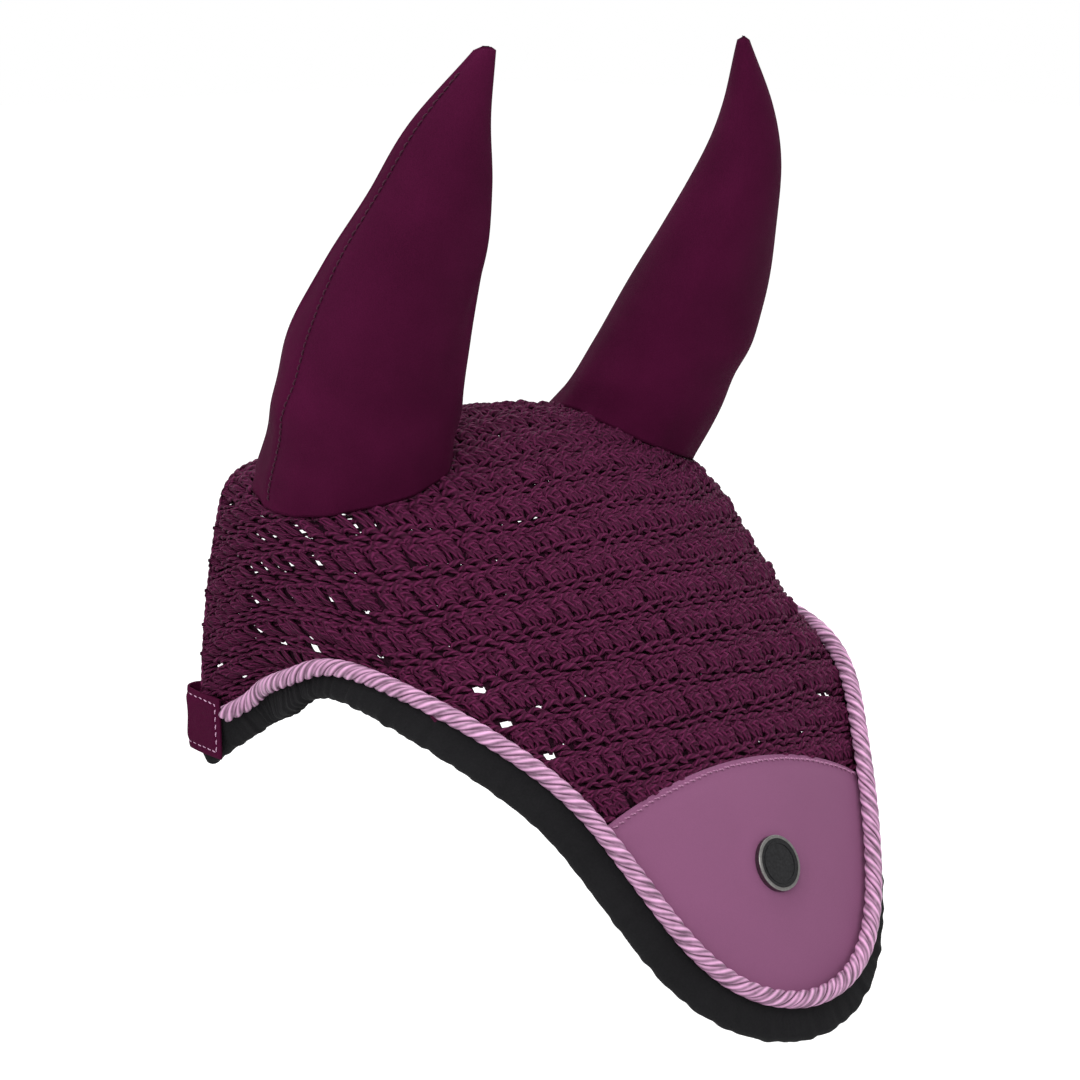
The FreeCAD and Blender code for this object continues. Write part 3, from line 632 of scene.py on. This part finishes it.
# strands of one stitch: knots as (share of the stitch, share of the row, height in mm)
frontRow = {
    "post left": [(0.03, -0.14, -2.1), (0.08, 0.08, -0.9), (0.15, 0.38, -0.1), (0.26, 0.72, -0.2),
                  (0.32, 0.98, -0.7), (0.35, 1.12, -2.0)],
    "post middle": [(0.28, -0.14, -1.9), (0.34, 0.08, -0.3), (0.42, 0.38, 0.9), (0.53, 0.72, 0.8),
                    (0.61, 0.98, -0.6), (0.64, 1.12, -2.0)],
    "post right": [(0.54, -0.12, -2.1), (0.60, 0.1, -0.8), (0.68, 0.40, 0.0), (0.79, 0.74, -0.1),
                   (0.87, 1.0, -0.9), (0.91, 1.12, -2.1)],
    "wrap": [(0.02, 0.40, -2.0), (0.14, 0.30, -0.4), (0.38, 0.26, 1.2), (0.62, 0.32, 1.1),
             (0.80, 0.44, -0.4), (0.92, 0.55, -2.0)],
    "second wrap": [(0.10, 0.72, -2.0), (0.22, 0.62, -0.4), (0.46, 0.58, 1.0), (0.68, 0.64, 0.9),
                    (0.86, 0.76, -0.4), (0.98, 0.86, -2.0)],
    "top loop": [(-0.25, 0.03, -1.7), (0.0, -0.06, -0.6), (0.35, -0.10, -0.1), (0.7, -0.04, -0.3),
                 (0.98, 0.08, -1.4)],
    "back bar": [(-0.1, 0.45, -2.5), (0.25, 0.35, -2.9), (0.75, 0.5, -2.9), (1.1, 0.45, -2.5)],
}
backRow = {
    "upper bump": [(-0.16, 0.22, -1.9), (0.02, 0.17, -0.5), (0.32, 0.14, 0.2), (0.62, 0.2, 0.1),
                   (0.84, 0.32, -1.0), (0.92, 0.4, -2.1)],
    "lower bump": [(0.22, 0.50, -1.9), (0.36, 0.50, -0.5), (0.66, 0.50, 0.3), (0.96, 0.58, 0.15),
                   (1.16, 0.68, -0.9), (1.26, 0.76, -2.1)],
    "low loop": [(-0.12, 0.86, -1.6), (0.12, 0.82, -0.5), (0.42, 0.84, -0.1), (0.72, 0.92, -0.5),
                 (0.95, 1.0, -1.5)],
    "back post": [(0.46, -0.05, -2.3), (0.42, 0.3, -2.9), (0.52, 0.7, -2.9), (0.48, 1.05, -2.3)],
}
# strands left out of a stitch beside a slot or a hole
slotLacks = ("post right", "wrap", "second wrap")
holeLacks = ("lower bump", "back post")


def yarnStrands(chosen, kinds):
    # every strand of the chosen stitches, as rings of points on the head
    rings = []
    for name, knots in kinds.items():
        knots = np.array(knots)
        worked = chosen
        if name in slotLacks:
            worked = chosen[~slotted[chosen]]
        if name in holeLacks:
            worked = chosen[~holed[chosen]]
        count = len(worked)
        route = np.repeat(knots[None], count, axis=0)
        route = route + random.normal(0, 1, route.shape) * np.array(crochet["wander"]) + pulled[worked]
        route[..., 0] = cellStart[worked][:, None] + route[..., 0] * crochet["stitchPitch"]
        route[..., 1] = cellLevel[worked][:, None] + route[..., 1] * crochet["rowPitch"]
        path = np.einsum("rk,nkc->nrc", splineWeights(len(knots), crochet["rings"]), route)
        swell = np.sin(np.linspace(*crochet["taper"], crochet["rings"]) * math.pi) ** crochet["fullness"]
        thick = crochet["strand"] * swell * (1 + random.normal(0, crochet["uneven"], (count, 1)))
        rings.append(toHead(tubeRings(path, thick, crochet["sides"], (0, 0, 1))))
    return np.concatenate(rings)


def crochetPiece(name, chosen):
    fronts = np.nonzero(chosen & tallRow)[0]
    backs = np.nonzero(chosen & ~tallRow)[0]
    rings = np.concatenate([yarnStrands(fronts, frontRow), yarnStrands(backs, backRow)])
    piece = tubesPiece(name, rings, np.linspace(0, 10, crochet["rings"]), plum)
    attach(piece, "bonnet")
    return piece


onForehead = cellAlong > crochet["foreheadFrom"]
onPoll = cellAlong <= crochet["browFrom"]
inMiddle = fromMiddle < crochet["beside"]
zones = {
    "crochet_forehead": inMiddle & onForehead, "crochet_brow": inMiddle & ~onForehead & ~onPoll,
    "crochet_poll": inMiddle & onPoll, "crochet_right_side": cellSpot[:, 0] <= -crochet["beside"],
    "crochet_left_side": cellSpot[:, 0] >= crochet["beside"],
}
crochetPieces = {name: crochetPiece(name, chosen) for name, chosen in zones.items()}
print("yarn worked:", [len(piece.data.polygons) for piece in crochetPieces.values()], "faces")


def thicken(piece, thickness, offset):
    cloth = piece.modifiers.new("cloth", "SOLIDIFY")
    cloth.thickness = thickness * mm
    cloth.offset = offset


# openings in a stitch's back: share of the stitch it starts at, shares of the row between
backs = {"parts": 5, "height": -1.9, "thick": 0.5, "dotted": 0.4,
         "openings": {"slot": (0.62, 0.12, 0.88), "hole": (0.45, 0.4, 0.8), "dot": (0.66, -1, 0.2)}}


def groundPiece():
    # the backs of the stitches as one thin sheet, left open where the work is open; its dark colour is
    # painted shade behind the gaps
    parts = backs["parts"]
    s, r = np.meshgrid(np.linspace(0, 1, parts + 1), np.linspace(0, 1, parts + 1), indexing="ij")
    place = cellStart[:, None, None] + s * crochet["stitchPitch"]
    row = cellLevel[:, None, None] + r * crochet["rowPitch"]
    points = toHead(np.stack([place, row, np.full(place.shape, backs["height"])], axis=-1))
    one = netFaces(parts + 1, parts + 1)
    faces = one[None] + (np.arange(len(cellRow)) * (parts + 1) ** 2)[:, None, None]
    middle = (np.arange(parts) + 0.5) / parts
    s, r = (v.ravel() for v in np.meshgrid(middle, middle, indexing="ij"))
    dotted = ~tallRow & (random.uniform(0, 1, len(cellRow)) < backs["dotted"])
    kept = np.ones(faces.shape[:2], bool)
    for what, stitches in (("slot", slotted), ("hole", holed), ("dot", dotted)):
        start, low, high = backs["openings"][what]
        kept &= ~(stitches[:, None] & (s > start) & (r > low) & (r < high))
    piece = newPiece("crochet_backs", points, [faces[kept]], shadedBacksPlum)
    thicken(piece, backs["thick"], -1)
    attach(piece, "bonnet")
    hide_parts("crochet_crown")
    return piece


ground = groundPiece()


def twisted(middle, normal, off, made):
    # middle lines of the strands that turn round a line
    lengths = runningLengths(middle)
    for strand in range(made["strands"]):
        turn = 2 * math.pi * (strand / made["strands"] - lengths / made["lay"])
        yield middle + made["offset"] * (normal * np.cos(turn)[:, None] + off * np.sin(turn)[:, None])


def edgingPiece():
    across = np.arange(-edging["reach"], edging["reach"], 1.0)
    middle = onCloth(edging["along"], across, edging["height"])
    normal = clothNormal(edging["along"], across)
    off = unit(np.cross(unit(np.gradient(middle, axis=0)), normal))
    strands = [tubeRings(path, edging["strand"], edging["sides"], normal)
               for path in twisted(middle, normal, off, edging)]
    piece = tubesPiece("crochet_rear_edging", np.stack(strands), runningLengths(middle), plum)
    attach(piece, "bonnet")
    return piece


crochetPieces["crochet_rear_edging"] = edgingPiece()


# how the ear's cloth lies, in mm: gathers are (height, how many round the ear, start), slack
# folds are (height, how many, start, height above the foot, its tilt, the tilt's start, depth)
lies = {
    "gathers": ((0.5, 9, 1.3), (0.4, 14, 0.4)), "gathersTo": 22, "foot": 0.9, "footTo": 3,
    "ridge": 0.8, "ridgeHalf": 2.2, "ridgeFrom": 12, "sewnIn": 0.7, "sewnHalf": 1.8,
    "slack": ((2.4, 2, 0.5, 30, 16, 0.6, 10), (1.8, 3, 1.9, 74, -20, 0, 17)),
    "sagFrom": 40, "sagTo": 60,
}


def earStand(side, up, turn, above):
    # how far the cloth stands off the plain sleeve: drawn in at the foot, a ridge along
    # the seam, slack folds above the foot and a slight sag between
    tip = earColumns[0][-1]
    gather = sum(size * np.sin(many * turn + start) for size, many, start in lies["gathers"])
    stand = gather * np.exp(-above / lies["gathersTo"])
    stand = stand + lies["foot"] * np.exp(-above / lies["footTo"])
    away = np.abs((turn + math.pi) % (2 * math.pi) - math.pi)
    wide = earCurves[2](up)
    ridge = lies["ridge"] * np.exp(-(away * wide / lies["ridgeHalf"]) ** 2)
    stand = stand + ridge * smoothStep(above, 0, lies["ridgeFrom"])
    seam = np.where(turn < math.pi, np.abs(away - math.radians(ear["stitchTurn"])), 9)
    stand = stand - lies["sewnIn"] * np.exp(-(seam * wide / lies["sewnHalf"]) ** 2)
    sag = np.sin(3 * turn + up / 17 + side) * 0.8 + np.sin(2 * turn - up / 24 + 2)
    sag = sag * smoothStep(above, 0, lies["sagFrom"]) * smoothStep(tip - up, 0, lies["sagTo"])
    slack = 0
    for size, many, start, level, tilt, tiltStart, deep in lies["slack"]:
        fromFold = (above - level - tilt * np.sin(turn + tiltStart)) / deep
        slack = slack + size * np.sin(many * turn + start) * np.exp(-fromFold ** 2)
    return stand + slack + sag


def earPiece(side, word):
    foot = earFoot(side, earTurns, 0.0, ear["onCrown"])
    tip = earColumns[0][-1]
    k = np.linspace(0, 1, ear["rings"])[:, None]
    up = foot[None] + (tip - foot[None]) * (0.75 * k + 0.25 * k ** 2)
    turn = earTurns[None]
    stand = earStand(side, up, turn, up - foot[None])
    points = earPoint(side, up, turn, stand)
    if side < 0:
        points = points[:, ::-1]
    cap = earPoint(side, tip, earTurns, -2.2) + np.array([0, -0.3, 1.4])
    cap = cap[::-1] if side < 0 else cap
    points = np.concatenate([points, cap[None]])
    rings = len(points)
    lid = ((rings - 1) * ear["around"] + np.arange(ear["around"]))[None, ::-1]
    piece = newPiece(f"ear_cloth_{word}", points,
                     [netFaces(rings, ear["around"], closed=True)[:, ::-1], lid[:, ::-1]], earPlum)
    thicken(piece, ear["cloth"], -1)
    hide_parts(f"ear_base_{word}", f"ear_sleeve_{word}")
    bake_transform(piece)


threads = {"patch": (0.42, 2.4, 3.6), "tab": (0.28, 2.6, 3.6), "ear": (0.4, 2.6, 3.6),
           "join": (0.45, 2.6, 4.0)}


def stitchLine(name, kind, points, normals, material, lean=0.0):
    # short threads along a line, each dipping into the cloth at its ends
    rings = 7
    radius, length, pitch = threads[kind]
    lengths = runningLengths(points)
    count = int(lengths[-1] / pitch)
    start = (np.arange(count) + 0.15) * pitch
    at = start[:, None] + np.linspace(0, length, rings)[None]
    line = np.stack([np.interp(at, lengths, points[:, i]) for i in range(3)], axis=-1)
    up = unit(np.stack([np.interp(at, lengths, normals[:, i]) for i in range(3)], axis=-1))
    run = unit(np.gradient(line, axis=1))
    side = np.cross(run, up)
    share = np.linspace(-1, 1, rings)[None, :, None]
    arch = radius * (1.0 - 2.2 * share ** 4)
    wobble = random.normal(0, 0.12, (count, 1, 1))
    path = line + up * arch + side * (share * lean + wobble)
    tubes = tubeRings(path, radius, 6, (0.3, 0.2, 0.9))
    return tubesPiece(name, tubes, np.linspace(0, length, rings), material)


def earSeam(side, word):
    turn = math.radians(ear["stitchTurn"])
    foot = np.interp(turn, earTurns, earFoot(side, earTurns, 0.0, ear["onCrown"]))
    up = np.linspace(foot + 4, ear["seamTop"], 90)
    stand = earStand(side, up, turn, up - foot) + 0.25
    points = earPoint(side, up, turn, stand)
    normals = unit(points - earPoint(side, up, turn, stand - 3.0))
    piece = stitchLine(f"ear_topstitch_{word}", "ear", points, normals, plumThread)
    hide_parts(f"ear_seam_stitches_{word}")
    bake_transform(piece)


def earJoin(side, word):
    turns = np.linspace(0, 2 * math.pi, 73)
    foot = earFoot(side, turns[:-1], 0.9, 0.4)
    foot = np.append(foot, foot[0])
    points = earPoint(side, foot, turns, 0.9)
    normals = unit(points - earPoint(side, foot + 1, turns, -6.0) + np.array([0, 0, 5.0]))
    piece = stitchLine(f"ear_join_{word}", "join", points, normals, plumThread)
    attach(piece, "bonnet")
    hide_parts(f"ear_join_stitches_{word}")


for side, word in ((-1, "right"), (1, "left")):
    earPiece(side, word)
    earSeam(side, word)
    earJoin(side, word)
print("ears sewn in")

# edge tape: folded over the edge, drawn up by its stitching where the rim turns
tape = {"inboard": 2.0, "outboard": 17.3, "above": 1.4, "below": -4.4, "cloth": 1.0, "step": 1.0,
        "flatSteps": 12, "foldSteps": 9, "foldDeep": 0.7, "foldTurn": math.pi / 2.4,
        "pucker": 0.22, "archPucker": 0.35, "nosePucker": 0.25, "archFrom": (150, 230), "archTo": (380, 430),
        "noseTo": (60, 120), "puckers": ((9.5, 0.5), (6.3, 0.35), (15.0, 0.4), (4.1, 0.2)), "drift": 0.05,
        "ripples": (0, 14), "edgeMoves": (10, 17), "edgeShare": 0.8}


def tapePiece():
    count = int(2 * rimReach / tape["step"])
    place = np.linspace(-rimReach, rimReach, count)
    middleOut = (tape["inboard"] + tape["outboard"]) / 2
    point, normal, off = rimFrame(place, middleOut)
    # the fold seen end on: out along the top, round the edge and back below
    radius = (tape["above"] - tape["below"]) / 2 + tape["cloth"]
    level = (tape["above"] + tape["below"]) / 2
    foldAt = tape["outboard"] - radius * tape["foldDeep"]
    flat = tape["flatSteps"]
    turn = np.linspace(tape["foldTurn"], -tape["foldTurn"], tape["foldSteps"])
    outs = np.concatenate([np.linspace(tape["inboard"], foldAt - 1, flat),
                           foldAt + tape["foldDeep"] * radius * np.cos(turn),
                           np.linspace(foldAt - 1, tape["inboard"], flat)])
    ups = np.concatenate([np.full(flat, level + radius), level + radius * np.sin(turn),
                          np.full(flat, level - radius)])
    inFold = np.concatenate([np.zeros(flat), np.ones(len(turn)), np.zeros(flat)])
    inner = np.stack([outs - tape["cloth"] * inFold,
                      level + (ups - level) * (radius - tape["cloth"]) / radius], axis=-1)[::-1]
    profile = np.concatenate([np.stack([outs, ups], axis=-1), inner])
    # puckers cross the tape; they are deepest in the arch and at the nose
    fromTip = np.abs(place)
    inArch = smoothStep(fromTip, *tape["archFrom"]) * (1 - 0.5 * smoothStep(fromTip, *tape["archTo"]))
    depth = tape["pucker"] + tape["archPucker"] * inArch
    depth = depth + tape["nosePucker"] * (1 - smoothStep(fromTip, *tape["noseTo"]))
    wave = np.zeros(count)
    for length, share in tape["puckers"]:
        drift = np.cumsum(random.normal(0, tape["drift"], count))
        wave += share * np.sin(2 * math.pi * place / length + drift)
    ripple = depth[:, None] * wave[:, None] * smoothStep(profile[:, 0], *tape["ripples"])[None]
    edge = tape["edgeShare"] * depth[:, None] * np.roll(wave, 2)[:, None]
    edge = edge * smoothStep(profile[:, 0], *tape["edgeMoves"])[None]
    out = profile[None, :, 0] - middleOut + edge
    up = profile[None, :, 1] + ripple * np.sign(profile[None, :, 1] - level)
    points = point[:, None] + off[:, None] * out[..., None] + normal[:, None] * up[..., None]
    rings = points.shape[1]
    foot = np.arange(rings)[None, ::-1]
    end = np.arange(rings)[None] + (count - 1) * rings
    piece = newPiece("edge_tape_cloth", points,
                     [netFaces(count, rings, closed=True)[:, ::-1], foot[:, ::-1], end[:, ::-1]],
                     blackTape)
    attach(piece, "bonnet")
    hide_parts("edge_tape")


tapePiece()

# twisted cord, laid on the tape's inner edge and sewn down all the way
cord = {"diameter": 8.0, "lay": 27.0, "strand": 1.7, "strands": 4, "offset": 8.0 / 2 - 1.7, "lift": 0.4,
        "tuck": 29, "step": 0.7, "sides": 14, "flat": 0.96, "wide": 1.08}


def cordPiece():
    reach = rimReach - cord["tuck"]
    place = np.arange(-reach, reach, cord["step"])
    point, normal, off = rimFrame(place)
    middle = point + normal * (tape["above"] + cord["lift"] + cord["diameter"] / 2)
    around = np.arange(cord["sides"]) * 2 * math.pi / cord["sides"]
    strands = []
    for path in twisted(middle, normal, off, cord):
        outward = unit(path - middle)
        sideways = unit(np.cross(unit(np.gradient(path, axis=0)), outward))
        ring = (outward[:, None] * np.cos(around)[None, :, None] * cord["flat"]
                + sideways[:, None] * np.sin(around)[None, :, None] * cord["wide"])
        strands.append(path[:, None] + ring * cord["strand"])
    piece = tubesPiece("rim_cord_strands", np.stack(strands), runningLengths(middle), satin)
    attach(piece, "bonnet")
    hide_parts("rim_cord")


cordPiece()
print("tape and cord laid round the rim")


def patchPiece():
    # rows across the forehead from the bowed top edge to the tip, under the cord
    low, high = 0.0, rimReach
    for halving in range(40):
        first = (low + high) / 2
        if rimAlong(first) > patch["corner"]:
            low = first
        else:
            high = first
    rows = patch["rows"]
    columns = patch["columns"]
    along, across = rimSpot(np.linspace(first, patch["tipCut"], rows), patch["pastCord"])
    tipAlong = float(rimSpot(np.array([0.0]), patch["pastCord"])[0][0])
    k = np.linspace(0, 1, rows)
    bulge = (patch["top"] - along[0]) * (1 - k) + (tipAlong - along[-1]) * k
    q = np.linspace(-1, 1, columns)
    spotAlong = along[:, None] + bulge[:, None] * (1 - q[None] ** 2)
    spotAcross = across[:, None] * q[None]
    fromTop = k[:, None] * patch["deep"]
    height = patch["gap"] + patch["thick"] - 0.9 * np.exp(-fromTop / 0.8)
    height = height - 0.3 * np.exp(-((fromTop - patch["stitchInset"]) / 1.1) ** 2)
    # the cloth stands up a little to the badge's underside
    fromBadge = np.hypot(spotAlong - patch["badge"], spotAcross) / patch["badgeRadius"]
    lifted = (0.55 + 0.25 * smoothStep(fromBadge, 0.35, 0.9)) * (1 - smoothStep(fromBadge, 1.08, 1.9))
    top = onCloth(spotAlong, spotAcross, height + lifted)
    below = onCloth(spotAlong, spotAcross, patch["gap"] * 0.4)
    points = np.concatenate([top.reshape(-1, 3), below.reshape(-1, 3)])
    count = rows * columns
    upper = netFaces(rows, columns)
    border = np.concatenate([np.arange(columns), np.arange(1, rows) * columns + columns - 1,
                             count - 2 - np.arange(columns - 1), (rows - 2 - np.arange(rows - 2)) * columns])
    after = np.roll(border, -1)
    sides = np.stack([border, border + count, after + count, after], axis=-1)
    piece = newPiece("forehead_patch_cloth", points, [upper, upper[:, ::-1] + count, sides], mauve)
    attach(piece, "bonnet")
    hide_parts("forehead_patch")
    q = np.linspace(-0.97, 0.97, 161)
    lineAlong = along[0] + bulge[0] * (1 - q ** 2) + patch["stitchInset"]
    line = onCloth(lineAlong, across[0] * q, patch["gap"] + patch["thick"] - 0.2)
    normals = clothNormal(lineAlong, across[0] * q)
    stitches = stitchLine("patch_stitches_sewn", "patch", line, normals, patchThread, 0.45)
    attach(stitches, "bonnet")
    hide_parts("patch_stitches")


patchPiece()

# corner tabs: short straps folded round the rear corners and box stitched
tab = {"length": 26, "drop": 29, "top": 206, "overhang": 5, "outer": 3.4, "inner": -5.6, "cloth": 1.1,
       "inset": 3.0, "shorter": 0.2, "columns": 40, "rows": 30, "foldSteps": 12, "foldDeep": 0.8,
       "puff": 0.7, "sewnIn": 0.75, "uneven": 0.25, "wavy": 0.4, "softEdge": 0.35, "threadUp": 0.35}


def tabPiece(side, word):
    along = tab["length"] / 2 - tab["overhang"]
    across = side * (tab["top"] + tab["drop"] / 2)
    centre = onCloth(along, across)
    outward = clothNormal(along, across)
    down = unit(onCloth(along, across + side) - onCloth(along, across - side))
    ahead = np.cross(down, outward) * side
    corner = centre - ahead * tab["length"] / 2 - down * tab["drop"] / 2
    columns = tab["columns"]
    rows = tab["rows"]
    radius = (tab["outer"] - tab["inner"]) / 2
    level = (tab["outer"] + tab["inner"]) / 2
    foldAt = radius * tab["foldDeep"]
    turn = np.linspace(math.pi / 2, 3 * math.pi / 2, tab["foldSteps"] + 2)[1:-1]
    forward = np.concatenate([np.linspace(tab["length"], foldAt, columns), foldAt + foldAt * np.cos(turn),
                              np.linspace(foldAt, tab["length"], columns)])
    lift = np.concatenate([np.full(columns, level + radius), level + radius * np.sin(turn),
                           np.full(columns, level - radius)])
    lower = np.linspace(0, tab["drop"], rows)
    f, d = np.meshgrid(forward, lower, indexing="ij")
    # the inner leaf is cut shorter, so it stays hidden behind the tape
    inner = np.concatenate([np.zeros(columns), np.linspace(0, 1, len(turn)), np.ones(columns)])[:, None]
    h = np.repeat(lift[:, None], rows, axis=1)
    inside = np.minimum.reduce([d, tab["drop"] - d, tab["length"] - f])
    puff = tab["puff"] * smoothStep(inside, 0, 3) - tab["sewnIn"] * np.exp(-(inside - tab["inset"]) ** 2)
    puff = puff + tab["uneven"] * np.sin(d / 3.1 + f / 5) * smoothStep(inside, 2, 6)
    h = h + puff * np.sign(h - level)
    d = d + tab["wavy"] * np.sin(f / 6)
    f = f * (1 - tab["shorter"] * inner)
    d = d * (1 - tab["shorter"] * inner)
    points = corner + ahead * f[..., None] + down * d[..., None] + outward * h[..., None]
    faces = netFaces(len(forward), rows)
    faces = faces if side > 0 else faces[:, ::-1]
    piece = newPiece(f"corner_tab_cloth_{word}", points, [faces], tabPlum)
    thicken(piece, tab["cloth"], 0)
    soft = piece.modifiers.new("soft edges", "BEVEL")
    soft.width = tab["softEdge"] * mm
    soft.segments = 2
    soft.limit_method = "ANGLE"
    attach(piece, "bonnet")
    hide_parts(f"corner_tab_{word}")
    inset = tab["inset"]
    box = [(inset, inset), (tab["length"] - inset, inset), (tab["length"] - inset, tab["drop"] - inset),
           (inset, tab["drop"] - inset), (inset, inset)]
    level = tab["outer"] + tab["threadUp"]
    line = np.array([corner + ahead * f + down * d + outward * level for f, d in box])
    line = np.concatenate([a + (b - a) * np.linspace(0, 1, 20)[:, None] for a, b in zip(line, line[1:])])
    normals = np.repeat(outward[None], len(line), axis=0)
    stitches = stitchLine(f"tab_stitches_sewn_{word}", "tab", line, normals, paleThread, 0.25)
    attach(stitches, "bonnet")
    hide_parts(f"tab_stitches_{word}")


for side, word in ((-1, "right"), (1, "left")):
    tabPiece(side, word)
print("patch and tabs sewn on")


badge = {
    "dark nickel": {"colour": (0.17, 0.165, 0.16), "roughness": 0.3, "specular": 0.5, "grain": (700.0, 5.0),
                    "metal": 1.0, "coat": 0.0, "shades": (0.75, 1.1), "depth": 0.03, "strength": 0.4,
                    "on": ("badge_rim", "badge_rivet", "badge_washer")},
    "dark enamel": {"colour": (0.012, 0.012, 0.013), "roughness": 0.4, "specular": 0.1, "grain": (900.0, 3.0),
                    "metal": 0.0, "coat": 0.05, "shades": (0.6, 1.6), "depth": 0.04, "strength": 0.5,
                    "on": ("badge_face",)},
}


def badgeMaterial(name, made):
    material, tree, shader = nodeMaterial(name, made["colour"], made["roughness"], specular=made["specular"])
    shader.inputs["Metallic"].default_value = made["metal"]
    shader.inputs["Coat Weight"].default_value = made["coat"]
    grain = noiseOver(tree, tree.nodes.new("ShaderNodeTexCoord"), *made["grain"])
    coloured(tree, shader, grain, made["colour"], made["shades"])
    bumped(tree, shader, grain, made["depth"] * mm, made["strength"])
    return material


for name, made in badge.items():
    finish = badgeMaterial(name, made)
    for node in made["on"]:
        bpy.data.objects[node].data.materials.clear()
        bpy.data.objects[node].data.materials.append(finish)
print("badge finished")

# stage: pale floor (in mm), four soft lamps (in metres), a plain white room
stage = {"floor": -330, "toEdge": 7000, "room": 0.55, "glow": 0.72, "middle": (0, -0.05, -0.03)}
lamps = {
    "key": {"at": (-1.7, -0.9, 1.1), "size": 1.4, "power": 31.0},
    "front": {"at": (0.5, -2.2, 0.7), "size": 1.6, "power": 10.0},
    "far side": {"at": (1.5, 0.6, 1.2), "size": 1.2, "power": 7.0},
    "top": {"at": (0.0, 0.2, 1.9), "size": 1.6, "power": 12.0},
}


def seenRay(tree):
    # one for rays that the camera, a mirror or glass sends
    path = tree.nodes.new("ShaderNodeLightPath")
    either = calculate(tree, "MAXIMUM", path.outputs["Is Camera Ray"], path.outputs["Is Glossy Ray"])
    return calculate(tree, "MAXIMUM", either, path.outputs["Is Transmission Ray"])


def floorMaterial():
    material, tree, shader = nodeMaterial("pale floor", (0.6, 0.6, 0.6), 0.9, specular=0.0)
    shader.inputs["Emission Color"].default_value = (1, 1, 1, 1)
    glow = calculate(tree, "MULTIPLY", seenRay(tree), stage["glow"])
    tree.links.new(glow, shader.inputs["Emission Strength"])
    return material


def makeStage():
    corners = np.array([(-1, -1, 0), (1, -1, 0), (1, 1, 0), (-1, 1, 0)]) * stage["toEdge"]
    corners = corners + np.array([0, 0, stage["floor"]])
    floor = newPiece("floor", corners, [[(0, 1, 2, 3)]], floorMaterial(), smooth=False)
    for name, lamp in lamps.items():
        data = bpy.data.lights.new(name, "AREA")
        data.size = lamp["size"]
        data.energy = lamp["power"]
        aimed(name, data, lamp["at"], stage["middle"])
    world = bpy.data.worlds.new("room")
    scene.world = world
    world.use_nodes = True
    tree = world.node_tree
    room = tree.nodes["Background"]
    room.inputs["Color"].default_value = (1, 1, 1, 1)
    strength = calculate(tree, "MULTIPLY_ADD", seenRay(tree), 1 - stage["room"], stage["room"])
    tree.links.new(strength, room.inputs["Strength"])


makeStage()
print("stage set")
